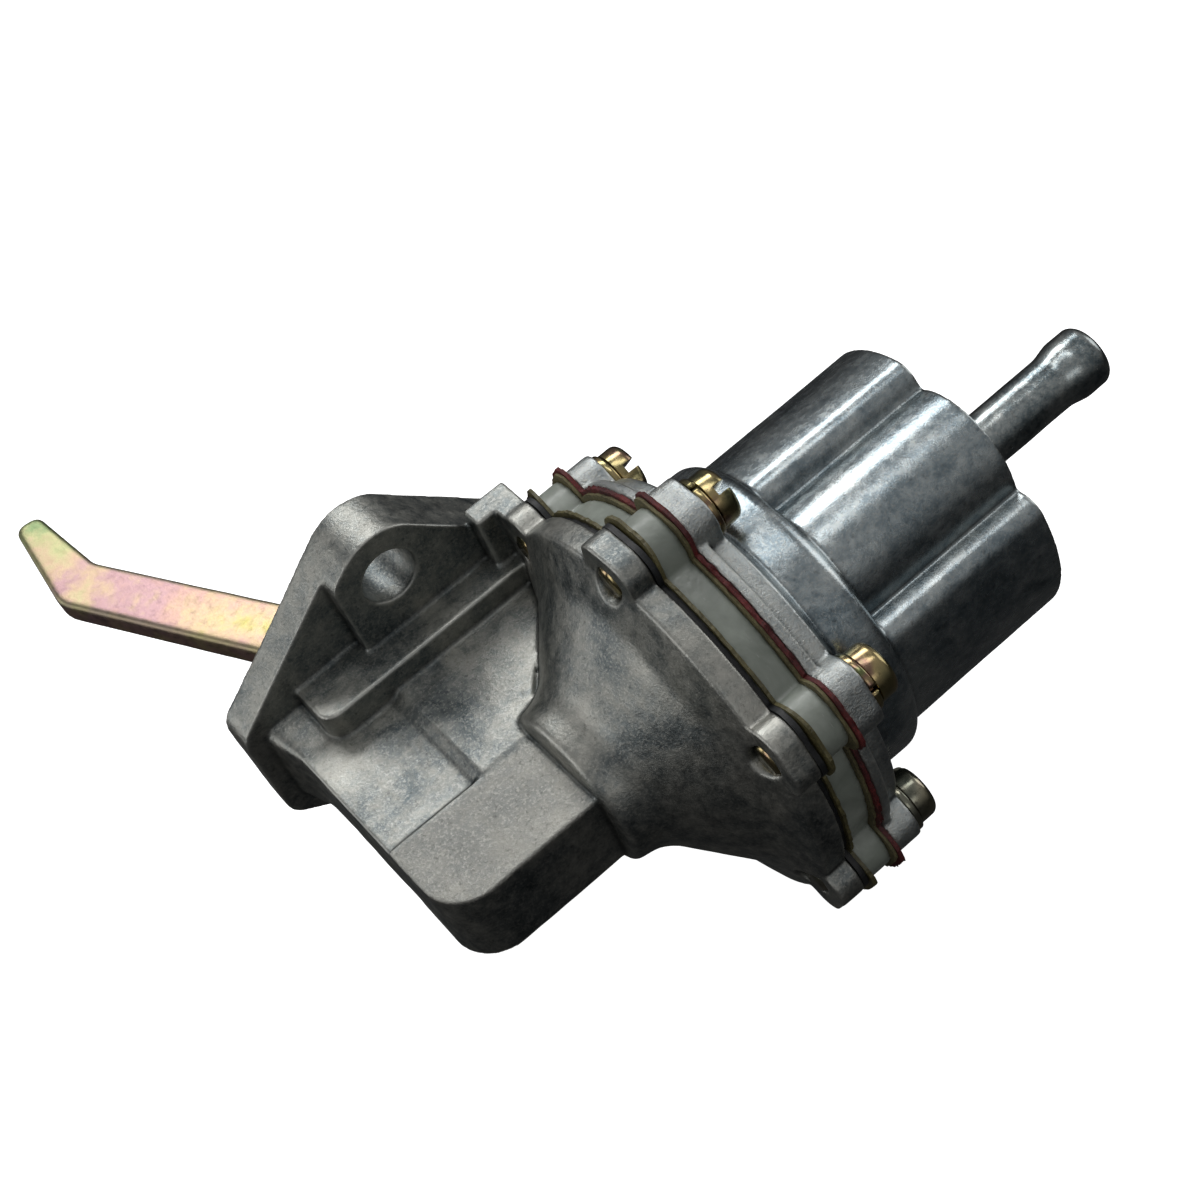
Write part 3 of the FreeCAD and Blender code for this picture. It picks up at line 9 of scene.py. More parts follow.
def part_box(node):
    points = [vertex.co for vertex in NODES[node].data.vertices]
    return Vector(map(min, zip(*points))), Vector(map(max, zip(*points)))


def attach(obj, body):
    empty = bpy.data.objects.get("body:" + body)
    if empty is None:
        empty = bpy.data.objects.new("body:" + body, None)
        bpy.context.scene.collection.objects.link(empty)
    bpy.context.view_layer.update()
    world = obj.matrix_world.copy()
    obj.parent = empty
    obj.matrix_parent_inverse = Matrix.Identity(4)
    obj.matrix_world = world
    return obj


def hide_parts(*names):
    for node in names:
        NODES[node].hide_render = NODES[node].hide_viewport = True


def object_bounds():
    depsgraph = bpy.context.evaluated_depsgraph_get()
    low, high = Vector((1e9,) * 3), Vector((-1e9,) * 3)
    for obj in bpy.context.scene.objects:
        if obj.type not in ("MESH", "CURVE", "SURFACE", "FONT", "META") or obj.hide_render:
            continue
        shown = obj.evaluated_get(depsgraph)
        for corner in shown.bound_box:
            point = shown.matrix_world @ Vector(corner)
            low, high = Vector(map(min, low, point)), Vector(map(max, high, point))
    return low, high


# Mechanical fuel pump, dressed in its real finishes. Everything is in metres, in the frame of the solids:
# +X runs along the pump's axis to the outlet pipe, +Y out of the mounting face, +Z along the bolt holes.
# Names that end in _mm, and the sizes of screws, washers and pipes, are in millimetres.

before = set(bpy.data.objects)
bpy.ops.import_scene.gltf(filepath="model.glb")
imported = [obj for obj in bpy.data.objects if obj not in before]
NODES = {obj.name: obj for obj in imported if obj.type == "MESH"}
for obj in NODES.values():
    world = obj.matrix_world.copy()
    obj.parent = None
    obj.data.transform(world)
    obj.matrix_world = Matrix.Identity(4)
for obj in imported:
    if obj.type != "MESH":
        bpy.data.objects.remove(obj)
solid_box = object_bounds()
MM = 0.001

AXIS_Y = -42.2 * MM
EARS = 6
FIRST_SCREW = math.radians(31.0)
EAR_STEP = 2.0 * math.pi / EARS
SCREW_CIRCLE = 29.6 * MM
LOBE_TURN = math.radians(119.5)
LOBE_OUT = 12.5 * MM

# Sockets of a colour mix, and the span in which most of a noise's values lie
SHARE, BELOW, ABOVE = 0, 6, 7
NOISE_SPAN = {"From Min": 0.3, "From Max": 0.7}


# Colours and nodes

def linear(code):
    """sRGB hex code as a linear colour."""
    parts = [int(code[k:k + 2], 16) / 255.0 for k in (1, 3, 5)]
    return tuple(v / 12.92 if v <= 0.04045 else ((v + 0.055) / 1.055) ** 2.4 for v in parts) + (1.0,)


def per(size_mm):
    """Noise scale for features of a real size in millimetres."""
    return 1000.0 / size_mm


def add(tree, kind, inputs, stops=(), **settings):
    """Adds one shader node with its settings; each input is a value, or a node or socket to link."""
    made = tree.nodes.new("ShaderNode" + kind)
    for key, value in settings.items():
        setattr(made, key, value)
    for key, value in inputs.items():
        if isinstance(value, bpy.types.Node):
            value = next(socket for socket in value.outputs if socket.enabled)
        if isinstance(value, bpy.types.NodeSocket):
            tree.links.new(value, made.inputs[key])
        else:
            made.inputs[key].default_value = value
    for n, (position, colour) in enumerate(stops):
        element = made.color_ramp.elements[n] if n < 2 else made.color_ramp.elements.new(position)
        element.position = position
        element.color = linear(colour) if isinstance(colour, str) else (colour, colour, colour, 1.0)
    return made


def new_material(name):
    """Empty material and the coordinates of the solids' frame."""
    material = bpy.data.materials.new(name)
    material.use_nodes = True
    tree = material.node_tree
    tree.nodes.clear()
    place = add(tree, "TexCoord", {}).outputs["Object"]
    return material, tree, place


def finish_material(tree, **sockets):
    """Ends a material with its shader; the keywords name the shader's sockets."""
    shader = add(tree, "BsdfPrincipled", {name.replace("_", " "): value for name, value in sockets.items()})
    add(tree, "OutputMaterial", {"Surface": shader})


# Finishes

def zinc_casting(name, shades, edge_wear_and_highlight, corner_shade, rough, blotch_mm, wave_mm, grain_mm, grain_depth_mm, run):
    """Zinc alloy, pressure die cast and tumbled.

    The skin is a grey metal with darker cold-flow blotches, fine dark speckle where it has oxidised, and a
    sand-like grain that makes it sparkle, with bright flecks painted on the grain as glints. Its edges are
    lightened, partly as worn metal and partly as a painted highlight, and its corners and creases carry
    painted shade. It is duller and sandier where the mesh says so. run below one draws the blotches out
    along the way the die opens.
    """
    material, tree, place = new_material(name)
    drawn = add(tree, "Mapping", {"Vector": place, "Scale": (run, 1.0, 1.0)})
    blotch = add(tree, "TexNoise", {
        "Vector": drawn, "Scale": per(blotch_mm), "Detail": 6.0, "Roughness": 0.6, "Distortion": 0.7})
    cloudy = add(tree, "TexNoise", {
        "Vector": drawn, "Scale": per(blotch_mm / 6.0), "Detail": 6.0, "Roughness": 0.72, "Distortion": 0.3})
    speck = add(tree, "TexNoise", {"Vector": place, "Scale": per(0.8), "Detail": 4.0, "Roughness": 0.75})
    grain = add(tree, "TexNoise", {"Vector": place, "Scale": per(grain_mm), "Detail": 3.0, "Roughness": 0.65})
    sandy = add(tree, "Attribute", {}, attribute_name="sandy", attribute_type="GEOMETRY").outputs["Fac"]
    crest = add(tree, "Attribute", {}, attribute_name="crest", attribute_type="GEOMETRY").outputs["Fac"]

    large = add(tree, "Math", {0: blotch, 1: 0.6}, operation="MULTIPLY")
    both = add(tree, "Math", {0: cloudy, 1: 0.4, 2: large}, operation="MULTIPLY_ADD")
    shade = add(tree, "ValToRGB", {0: both}, shades)
    pale = add(tree, "Math", {0: sandy, 1: 0.35}, operation="MULTIPLY")
    base = add(tree, "Mix", {SHARE: pale, BELOW: shade, ABOVE: linear("#B9B7B0")}, data_type="RGBA")
    pits = add(tree, "ValToRGB", {0: speck}, [(0.32, 0.25), (0.45, 1.0)])
    pitted = add(tree, "Mix", {SHARE: 0.5, BELOW: base, ABOVE: pits}, data_type="RGBA", blend_type="MULTIPLY")

    # Painted glints: bright flecks on the tops of the grain, with more of them where the skin is sandy.
    bright = add(tree, "ValToRGB", {0: grain}, [(0.50, 0.0), (0.64, 1.0)])
    amount = add(tree, "Math", {0: sandy, 1: 0.45, 2: 0.40}, operation="MULTIPLY_ADD")
    flecks = add(tree, "Math", {0: bright, 1: amount}, operation="MULTIPLY")
    flecked = add(tree, "Mix", {SHARE: flecks, BELOW: pitted, ABOVE: linear("#AFAEA8")}, data_type="RGBA")
    # Painted shade: concave corners and creases are darkened towards a near-black slate, standing in for the
    # shade that falls in them.
    corners = add(tree, "ValToRGB", {0: crest}, [(0.12, corner_shade), (0.44, 0.0)])
    shaded = add(tree, "Mix", {SHARE: corners, BELOW: flecked, ABOVE: linear("#1B2123")}, data_type="RGBA")
    # Painted highlight and wear: convex edges are lightened towards a pale grey, partly as worn metal and
    # partly as a highlight painted along them.
    worn_and_highlit = add(tree, "ValToRGB", {0: crest}, [(0.60, 0.0), (0.95, edge_wear_and_highlight)])
    colour = add(tree, "Mix", {SHARE: worn_and_highlit, BELOW: shaded, ABOVE: linear("#B5B5AF")}, data_type="RGBA")

    skin = add(tree, "MapRange", {"Value": cloudy, **NOISE_SPAN, "To Min": rough[0], "To Max": rough[1]})
    gloss = add(tree, "Math", {0: sandy, 1: 0.14, 2: skin}, operation="MULTIPLY_ADD")
    soft = add(tree, "Bump", {"Height": cloudy, "Distance": wave_mm * MM, "Strength": 0.6})
    depth = add(tree, "Math", {0: sandy, 1: 0.14 * MM, 2: grain_depth_mm * MM}, operation="MULTIPLY_ADD")
    grainy = add(tree, "Bump", {"Height": grain, "Distance": depth, "Strength": 0.9, "Normal": soft})
    finish_material(tree, Base_Color=colour, Metallic=1.0, Roughness=gloss, Normal=grainy)
    return material


def yellow_passivated_arm(name):
    """Steel, blanked, zinc plated and yellow passivated.

    The thin film shows pastel interference colours, from straw at the flange through salmon to green at
    the tip, on a satin metal with faint stains.
    """
    material, tree, place = new_material(name)
    along = add(tree, "SeparateXYZ", {0: place}).outputs["Y"]
    reach = add(tree, "MapRange", {"Value": along, "From Max": 70.0 * MM, "To Min": 0.12, "To Max": 0.88})
    drift = add(tree, "TexNoise", {"Vector": place, "Scale": per(9.0), "Detail": 6.0, "Roughness": 0.6})
    fine = add(tree, "TexNoise", {"Vector": place, "Scale": per(1.2), "Detail": 5.0, "Roughness": 0.7})
    grain = add(tree, "TexNoise", {"Vector": place, "Scale": per(0.35), "Detail": 3.0, "Roughness": 0.6})
    crest = add(tree, "Attribute", {}, attribute_name="crest", attribute_type="GEOMETRY").outputs["Fac"]

    swing = add(tree, "Math", {0: drift, 1: 1.1, 2: -0.55}, operation="MULTIPLY_ADD")
    film = add(tree, "Math", {0: swing, 1: reach}, operation="ADD")
    tint = add(tree, "ValToRGB", {0: film}, [
        (0.05, "#8F9A74"), (0.18, "#AAA364"), (0.32, "#B3A080"), (0.46, "#AC8D84"), (0.58, "#A38588"),
        (0.70, "#B09A82"), (0.84, "#A3A27A"), (0.97, "#7F9069")])
    stains = add(tree, "ValToRGB", {0: fine}, [(0.34, 0.70), (0.50, 1.0)])
    stained = add(
        tree, "Mix", {SHARE: 0.8, BELOW: tint, ABOVE: stains}, data_type="RGBA", blend_type="MULTIPLY")
    edge = add(tree, "ValToRGB", {0: crest}, [(0.58, 0.0), (0.80, 0.7)])
    colour = add(tree, "Mix", {SHARE: edge, BELOW: stained, ABOVE: linear("#6F7A55")}, data_type="RGBA")

    gloss = add(tree, "MapRange", {"Value": fine, **NOISE_SPAN, "To Min": 0.34, "To Max": 0.50})
    soft = add(tree, "Bump", {"Height": fine, "Distance": 0.03 * MM, "Strength": 0.5})
    sandy = add(tree, "Bump", {"Height": grain, "Distance": 0.02 * MM, "Strength": 0.6, "Normal": soft})
    finish_material(tree, Base_Color=colour, Metallic=1.0, Roughness=gloss, Normal=sandy)
    return material


def yellow_passivated_screw(name):
    """Steel, cold headed, zinc plated and yellow passivated.

    A glossy olive gold with greenish and violet drift and fine dark stains from storage. Some screws are
    more silver than others.
    """
    material, tree, place = new_material(name)
    drift = add(tree, "TexNoise", {"Vector": place, "Scale": per(4.0), "Detail": 2.0, "Roughness": 0.45})
    batch = add(tree, "TexNoise", {"Vector": place, "Scale": per(36.0), "Detail": 0.0})
    fine = add(tree, "TexNoise", {"Vector": place, "Scale": per(0.9), "Detail": 4.0, "Roughness": 0.7})
    gold = add(tree, "ValToRGB", {0: drift}, [
        (0.28, "#5F6248"), (0.42, "#8F8560"), (0.53, "#A3926A"), (0.62, "#856B5C"), (0.74, "#6E774F")])
    silver = add(tree, "ValToRGB", {0: drift}, [
        (0.28, "#5C6058"), (0.42, "#83847A"), (0.53, "#99988A"), (0.62, "#77726B"), (0.74, "#6D7363")])
    gilded = add(tree, "ValToRGB", {0: batch}, [(0.44, 0.15), (0.56, 1.0)])
    tint = add(tree, "Mix", {SHARE: gilded, BELOW: silver, ABOVE: gold}, data_type="RGBA")
    stains = add(tree, "ValToRGB", {0: fine}, [(0.32, 0.45), (0.46, 1.0)])
    colour = add(
        tree, "Mix", {SHARE: 0.7, BELOW: tint, ABOVE: stains}, data_type="RGBA", blend_type="MULTIPLY")
    gloss = add(tree, "MapRange", {"Value": fine, **NOISE_SPAN, "To Min": 0.12, "To Max": 0.26})
    soft = add(tree, "Bump", {"Height": fine, "Distance": 0.015 * MM, "Strength": 0.5})
    finish_material(tree, Base_Color=colour, Metallic=1.0, Roughness=gloss, Normal=soft)
    return material


def plain_steel(name, low, high, rough):
    """Steel sheet and wire, drawn and bright zinc plated or oiled: a cool grey metal with thin stains."""
    material, tree, place = new_material(name)
    stain = add(tree, "TexNoise", {"Vector": place, "Scale": per(5.0), "Detail": 5.0, "Roughness": 0.6})
    fine = add(tree, "TexNoise", {"Vector": place, "Scale": per(0.4), "Detail": 3.0, "Roughness": 0.6})
    colour = add(tree, "ValToRGB", {0: stain}, [(0.34, low), (0.62, high)])
    gloss = add(tree, "MapRange", {"Value": fine, **NOISE_SPAN, "To Min": rough, "To Max": rough + 0.15})
    soft = add(tree, "Bump", {"Height": fine, "Distance": 0.01 * MM, "Strength": 0.5})
    finish_material(tree, Base_Color=colour, Metallic=1.0, Roughness=gloss, Normal=soft)
    return material


def milky_nylon(name):
    """Natural nylon, injection moulded: grey and milky, light passes its edges, satin with flow lines."""
    material, tree, place = new_material(name)
    flow = add(tree, "TexNoise", {
        "Vector": place, "Scale": per(7.0), "Detail": 4.0, "Roughness": 0.55, "Distortion": 0.5})
    fine = add(tree, "TexNoise", {"Vector": place, "Scale": per(0.5), "Detail": 3.0, "Roughness": 0.6})
    scuff = add(tree, "TexNoise", {
        "Vector": add(tree, "Mapping", {"Vector": place, "Scale": (6.0, 1.0, 1.0)}),
        "Scale": per(3.0), "Detail": 6.0, "Roughness": 0.8})
    milk = add(tree, "ValToRGB", {0: flow}, [(0.30, "#6F756D"), (0.52, "#868C84"), (0.74, "#9CA29A")])
    marks = add(tree, "ValToRGB", {0: scuff}, [(0.62, 0.0), (0.72, 0.45)])
    colour = add(tree, "Mix", {SHARE: marks, BELOW: milk, ABOVE: linear("#C2C6BF")}, data_type="RGBA")
    gloss = add(tree, "MapRange", {"Value": fine, **NOISE_SPAN, "To Min": 0.30, "To Max": 0.48})
    wavy = add(tree, "Bump", {"Height": flow, "Distance": 0.06 * MM, "Strength": 0.4})
    soft = add(tree, "Bump", {"Height": fine, "Distance": 0.008 * MM, "Strength": 0.5, "Normal": wavy})
    finish_material(
        tree, Base_Color=colour, Roughness=gloss, IOR=1.53, Subsurface_Weight=0.4,
        Subsurface_Radius=(1.0, 1.0, 0.9), Subsurface_Scale=1.5 * MM, Normal=soft)
    return material


def pressed_sheet(name, low, middle, high, rough, fibre_mm, fibre_depth_mm):
    """Gasket or diaphragm sheet, die cut: matt, with fibres that show along the cut edge."""
    material, tree, place = new_material(name)
    layers = add(tree, "Mapping", {"Vector": place, "Scale": (3.0, 1.0, 1.0)})
    fibre = add(tree, "TexNoise", {
        "Vector": layers, "Scale": per(fibre_mm), "Detail": 5.0, "Roughness": 0.7, "Distortion": 0.6})
    soak = add(tree, "TexNoise", {"Vector": place, "Scale": per(5.0), "Detail": 3.0, "Roughness": 0.55})
    part = add(tree, "Math", {0: soak, 1: 0.4}, operation="MULTIPLY")
    both = add(tree, "Math", {0: fibre, 1: 0.6, 2: part}, operation="MULTIPLY_ADD")
    colour = add(tree, "ValToRGB", {0: both}, [(0.34, low), (0.5, middle), (0.66, high)])
    rough_cut = add(tree, "Bump", {"Height": fibre, "Distance": fibre_depth_mm * MM, "Strength": 0.9})
    finish_material(tree, Base_Color=colour, Roughness=rough, Normal=rough_cut)
    return material


def woven_gauze(name):
    """Brass gauze, woven: a fine square mesh, drawn at 0.5 mm in place of its real 0.15 so that it shows."""
    material, tree, place = new_material(name)
    wires = [
        add(tree, "TexWave", {"Vector": place, "Scale": per(0.5) / 20.0}, bands_direction=axis).outputs["Fac"]
        for axis in ("X", "Y", "Z")
    ]
    across = add(tree, "Math", {0: wires[0], 1: wires[1]}, operation="MAXIMUM")
    weave = add(tree, "Math", {0: across, 1: wires[2]}, operation="MULTIPLY")
    colour = add(tree, "ValToRGB", {0: weave}, [(0.1, "#4A3A1C"), (0.6, "#B08D4B"), (1.0, "#D9BC7C")])
    woven = add(tree, "Bump", {"Height": weave, "Distance": 0.1 * MM, "Strength": 0.8})
    finish_material(tree, Base_Color=colour, Metallic=1.0, Roughness=0.4, Normal=woven)
    return material


LOWER_ZINC = zinc_casting(
    "lower_die_casting",
    [(0.32, "#3F484B"), (0.44, "#686D6D"), (0.55, "#8C8D88"), (0.70, "#ABA9A2")],
    edge_wear_and_highlight=0.60, corner_shade=0.75, rough=(0.34, 0.52), blotch_mm=12.0, wave_mm=0.05, grain_mm=0.42,
    grain_depth_mm=0.06, run=1.0)
UPPER_ZINC = zinc_casting(
    "upper_die_casting",
    [(0.32, "#4C5960"), (0.44, "#7F8B91"), (0.55, "#A6AEB0"), (0.70, "#C9CDCB")],
    edge_wear_and_highlight=0.60, corner_shade=0.80, rough=(0.20, 0.32), blotch_mm=9.0, wave_mm=0.018, grain_mm=0.34,
    grain_depth_mm=0.025, run=0.8)
PIPE_ZINC = zinc_casting(
    "pipe_skin",
    [(0.34, "#3A464B"), (0.44, "#717C80"), (0.55, "#A0A7A7"), (0.70, "#C8CAC6")],
    edge_wear_and_highlight=0.50, corner_shade=0.80, rough=(0.16, 0.28), blotch_mm=6.0, wave_mm=0.02, grain_mm=0.34,
    grain_depth_mm=0.02, run=0.8)
ARM_STEEL = yellow_passivated_arm("rocker_arm_plating")
SCREW_STEEL = yellow_passivated_screw("screw_plating")
BRIGHT_STEEL = plain_steel("bright_plated_steel", "#77797A", "#B4B6B6", rough=0.24)
SPRING_WIRE = plain_steel("oiled_spring_wire", "#3B3C3E", "#6E7072", rough=0.28)
NYLON = milky_nylon("natural_nylon")
BLACK_RUBBER = pressed_sheet(
    "black_proofed_cloth", "#08090A", "#131517", "#24272A", rough=0.55, fibre_mm=0.5, fibre_depth_mm=0.04)
OLIVE_RUBBER = pressed_sheet(
    "olive_proofed_cloth", "#2B2817", "#4A4528", "#6B6440", rough=0.5, fibre_mm=0.5, fibre_depth_mm=0.05)
PALE_FIBRE = pressed_sheet(
    "pale_gasket_fibre", "#34301F", "#5F593C", "#7E7653", rough=0.75, fibre_mm=0.4, fibre_depth_mm=0.05)
RED_FIBRE = pressed_sheet(
    "red_gasket_fibre", "#1E0607", "#490F11", "#701D19", rough=0.7, fibre_mm=0.4, fibre_depth_mm=0.06)
GAUZE = woven_gauze("brass_gauze_weave")


# Meshes

def welded_copy(node):
    """The node's mesh as a new mesh, with its split corners joined."""
    mesh = NODES[node].data.copy()
    mesh.materials.clear()
    work = bmesh.new()
    work.from_mesh(mesh)
    bmesh.ops.remove_doubles(work, verts=work.verts, dist=0.002 * MM)
    work.to_mesh(mesh)
    work.free()
    return mesh


def placed(name, content):
    """New object in the scene."""
    obj = bpy.data.objects.new(name, content)
    bpy.context.scene.collection.objects.link(obj)
    return obj


def evaluated(obj):
    """The object's mesh with its modifiers applied; the object goes away."""
    graph = bpy.context.evaluated_depsgraph_get()
    mesh = bpy.data.meshes.new_from_object(obj.evaluated_get(graph))
    bpy.data.objects.remove(obj)
    return mesh


def fine_skin(mesh, voxel_mm):
    """Closed skin of small even faces over a solid."""
    obj = placed("skin_work", mesh)
    skin = obj.modifiers.new("skin", "REMESH")
    skin.mode = "VOXEL"
    skin.voxel_size = voxel_mm * MM
    skin.adaptivity = 0.0
    return evaluated(obj)


def numbers_of(items, field, width, kind=np.float32):
    """One row of numbers for each vertex or edge."""
    flat = np.empty(len(items) * width, kind)
    items.foreach_get(field, flat)
    return flat.reshape(-1, width)


def points_of(mesh):
    return numbers_of(mesh.vertices, "co", 3).astype(float)


def normals_of(mesh):
    return numbers_of(mesh.vertices, "normal", 3).astype(float)


def edges_of(mesh):
    return numbers_of(mesh.edges, "vertices", 2, np.int32)


def set_points(mesh, points):
    mesh.vertices.foreach_set("co", points.astype(np.float32).ravel())
    mesh.update()


def smoothed(points, edges, rounds):
    """Moves each point half way to the mean of its neighbours, some rounds over."""
    count = len(points)
    degree = np.bincount(edges.ravel(), minlength=count).astype(float)
    degree[degree == 0] = 1.0
    for _ in range(rounds):
        total = np.empty_like(points)
        for axis in range(3):
            a = np.bincount(edges[:, 0], weights=points[edges[:, 1], axis], minlength=count)
            b = np.bincount(edges[:, 1], weights=points[edges[:, 0], axis], minlength=count)
            total[:, axis] = a + b
        points = points + 0.5 * (total / degree[:, None] - points)
    return points


def keep_value(mesh, name, value):
    """Stores a number from 0 to 1 at each point, for the finish to read."""
    attribute = mesh.attributes.new(name, "FLOAT", "POINT")
    attribute.data.foreach_set("value", np.clip(value, 0.0, 1.0).astype(np.float32))


def keep_crest(mesh, rounds):
    """Stores how far each point stands out of its surroundings, 0.5 where flat."""
    full_range = 0.24 * MM
    points = points_of(mesh)
    away = ((points - smoothed(points, edges_of(mesh), rounds)) * normals_of(mesh)).sum(1)
    keep_value(mesh, "crest", 0.5 + away / full_range)


def uneven(points, normals, size_mm, depth_mm, seed):
    """Shallow waves of a cast surface, pushed along the normals."""
    shift = Vector((seed, -seed, 0.5 * seed))
    scale = per(size_mm)
    heights = np.array([noise.noise(Vector(p) * scale + shift) for p in points])
    return points + normals * (heights * depth_mm * MM)[:, None]


def cast_skin(node, voxel_mm, rounds, waves, sandy=None):
    """Skin of a casting: rounded edges and corners, and a surface that is never quite flat.

    Each wave is its size, its depth and its seed. sandy tells from the points, in millimetres, how sandy
    the skin is there.
    """
    mesh = fine_skin(welded_copy(node), voxel_mm)
    set_points(mesh, smoothed(points_of(mesh), edges_of(mesh), rounds))
    keep_crest(mesh, 8)
    if sandy:
        keep_value(mesh, "sandy", sandy(points_of(mesh) / MM))
    for size_mm, depth_mm, seed in waves:
        set_points(mesh, uneven(points_of(mesh), normals_of(mesh), size_mm, depth_mm, seed))
    return mesh


def show(name, mesh, material, body, replaced, smooth=True):
    """Puts a mesh in place of its solid, on its body."""
    obj = placed(name, mesh)
    mesh.materials.clear()
    mesh.materials.append(material)
    mesh.polygons.foreach_set("use_smooth", [smooth] * len(mesh.polygons))
    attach(obj, body)
    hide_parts(replaced)


def mesh_from(work, name):
    """Ends the work on a mesh, with its faces turned outwards."""
    mesh = bpy.data.meshes.new(name)
    bmesh.ops.recalc_face_normals(work, faces=work.faces)
    work.to_mesh(mesh)
    work.free()
    return mesh


def joined(meshes, name):
    """One mesh of several that don't touch."""
    work = bmesh.new()
    for mesh in meshes:
        work.from_mesh(mesh)
        bpy.data.meshes.remove(mesh)
    mesh = bpy.data.meshes.new(name)
    work.to_mesh(mesh)
    work.free()
    return mesh


def ring(work, section, turn):
    """Points of a section, given as (x, radius), turned about X."""
    return [
        work.verts.new((x * MM, r * MM * math.cos(turn), r * MM * math.sin(turn))) for x, r in section
    ]


def band(work, here, there):
    """Faces between two rings."""
    count = len(here)
    for n in range(count):
        m = (n + 1) % count
        work.faces.new((here[n], here[m], there[m], there[n]))


def turned(profile, steps):
    """Closed solid turned about X from (x, radius) points."""
    work = bmesh.new()
    rings = [ring(work, profile, 2.0 * math.pi * k / steps) for k in range(steps)]
    for k in range(steps):
        band(work, rings[k], rings[(k + 1) % steps])
    bmesh.ops.remove_doubles(work, verts=work.verts, dist=0.001 * MM)
    return work


def softened(corners, radius_of, steps):
    """Outline points with each (x, y) corner rounded by its own radius."""
    points = []
    count = len(corners)
    for k, corner in enumerate(corners):
        here = Vector(corner)
        before = (Vector(corners[k - 1]) - here).normalized()
        after = (Vector(corners[(k + 1) % count]) - here).normalized()
        half = 0.5 * before.angle(after)
        reach = radius_of[k] / math.tan(half)
        start, stop = here + before * reach, here + after * reach
        for n in range(steps + 1):
            t = n / steps
            curve = start.lerp(here, t).lerp(here.lerp(stop, t), t)
            points.append((curve.x, curve.y))
    return points


def quarter_round(end_x, outer_r, radius, steps):
    """Outline of a rounded rim, from the side of a turned piece to its end."""
    turns = [0.5 * math.pi * n / steps for n in range(steps + 1)]
    return [
        (end_x - radius + radius * math.sin(turn), outer_r - radius + radius * math.cos(turn))
        for turn in turns
    ]


# Hose pipes

PIPE_R = 4.03
PIPE_BEAD_R = 4.65
PIPE_BORE_R = 2.9
FLARE_START = 7.6
FLARE_END = 4.0
BEAD_ROUND = 1.5
MOUTH_CHAMFER = 0.25
PIPE_STEPS = 96
PIPE_STEP_MM = 0.5
PIPE_WAVE = (5.0, 0.05)


def hose_pipe_profile(length):
    """Outline of a beaded hose pipe: plain tube, smooth flare, short land and a rolled end."""
    points = [(0.0, PIPE_BORE_R), (0.0, PIPE_R)]
    flare_start = length - FLARE_START
    flare_end = length - FLARE_END
    for n in range(9):
        t = n / 8.0
        rise = t * t * (3.0 - 2.0 * t)
        points.append((flare_start + (flare_end - flare_start) * t, PIPE_R + (PIPE_BEAD_R - PIPE_R) * rise))
    points += quarter_round(length, PIPE_BEAD_R, BEAD_ROUND, 8)[1:]
    points.append((length - 0.1, PIPE_BORE_R + MOUTH_CHAMFER))
    points.append((length - 2 * MOUTH_CHAMFER, PIPE_BORE_R))
    return points


def long_steps(profile, longest):
    """Adds points so that no side of a turned outline is longer than this."""
    points = []
    for k, (x, r) in enumerate(profile):
        following = profile[(k + 1) % len(profile)]
        far = math.dist((x, r), following)
        count = max(1, math.ceil(far / longest))
        for n in range(count):
            t = n / count
            points.append((x + (following[0] - x) * t, r + (following[1] - r) * t))
    return points


def hose_pipe(name, node, foot, direction, length, seed):
    """Pressed pipe from its foot along its direction, with the shallow waves of a rolled skin."""
    work = turned(long_steps(hose_pipe_profile(length), PIPE_STEP_MM), PIPE_STEPS)
    turn = Vector((1, 0, 0)).rotation_difference(Vector(direction)).to_matrix().to_4x4()
    bmesh.ops.transform(work, matrix=Matrix.Translation(foot) @ turn, verts=work.verts)
    mesh = mesh_from(work, name)
    set_points(mesh, uneven(points_of(mesh), normals_of(mesh), *PIPE_WAVE, seed))
    keep_crest(mesh, 6)
    show(name, mesh, PIPE_ZINC, "pump", node)


# Screws and washers

SHANK_R = 2.5
THREAD_LENGTH = 9.0
THREAD_PITCH = 0.8
THREAD_DEPTH = 0.32
THREAD_POINT = 0.5
HEAD_R = 4.0
HEAD_ROUND = 1.15
HEAD_CROWN = 0.14
HEAD_FOOT = 0.25
TIP_PROUD = 0.4
SCREW_STEPS = 64
SLOT_DEPTH = 2.0
SLOT_WIDTH = 1.35
SLOT_TURNS = [128.0, 122.0, 35.0, 50.0, 80.0, 10.0]

WASHER_BORE_R = 2.85
WASHER_R = 4.45
WASHER_GAP = 0.18
WASHER_TWIST = 0.16


def on_ear(mesh, k):
    """Moves a mesh made about the origin to screw k."""
    turn = FIRST_SCREW + EAR_STEP * k
    mesh.transform(Matrix.Translation((
        0.0, AXIS_Y + SCREW_CIRCLE * math.cos(turn), SCREW_CIRCLE * math.sin(turn))))
    return mesh


def screw_outline(tip_x, head_x, top_x):
    """Half of a cheese-head screw: tip, rolled thread, shank, and a head with a soft rim."""
    outline = [(tip_x, 0.0), (tip_x, SHANK_R - THREAD_POINT), (tip_x + THREAD_POINT, SHANK_R)]
    x = tip_x + THREAD_POINT
    while x < tip_x + THREAD_LENGTH:
        groove = x + 0.5 * THREAD_PITCH
        outline += [(groove - 0.15, SHANK_R), (groove, SHANK_R - THREAD_DEPTH), (groove + 0.15, SHANK_R)]
        x += THREAD_PITCH
    outline += [(head_x, SHANK_R), (head_x, HEAD_R - HEAD_FOOT), (head_x + 0.2, HEAD_R)]
    outline += quarter_round(top_x, HEAD_R, HEAD_ROUND, 7)
    outline += [(top_x + HEAD_CROWN - 0.02, HEAD_R * 0.4), (top_x + HEAD_CROWN, 0.0)]
    return outline


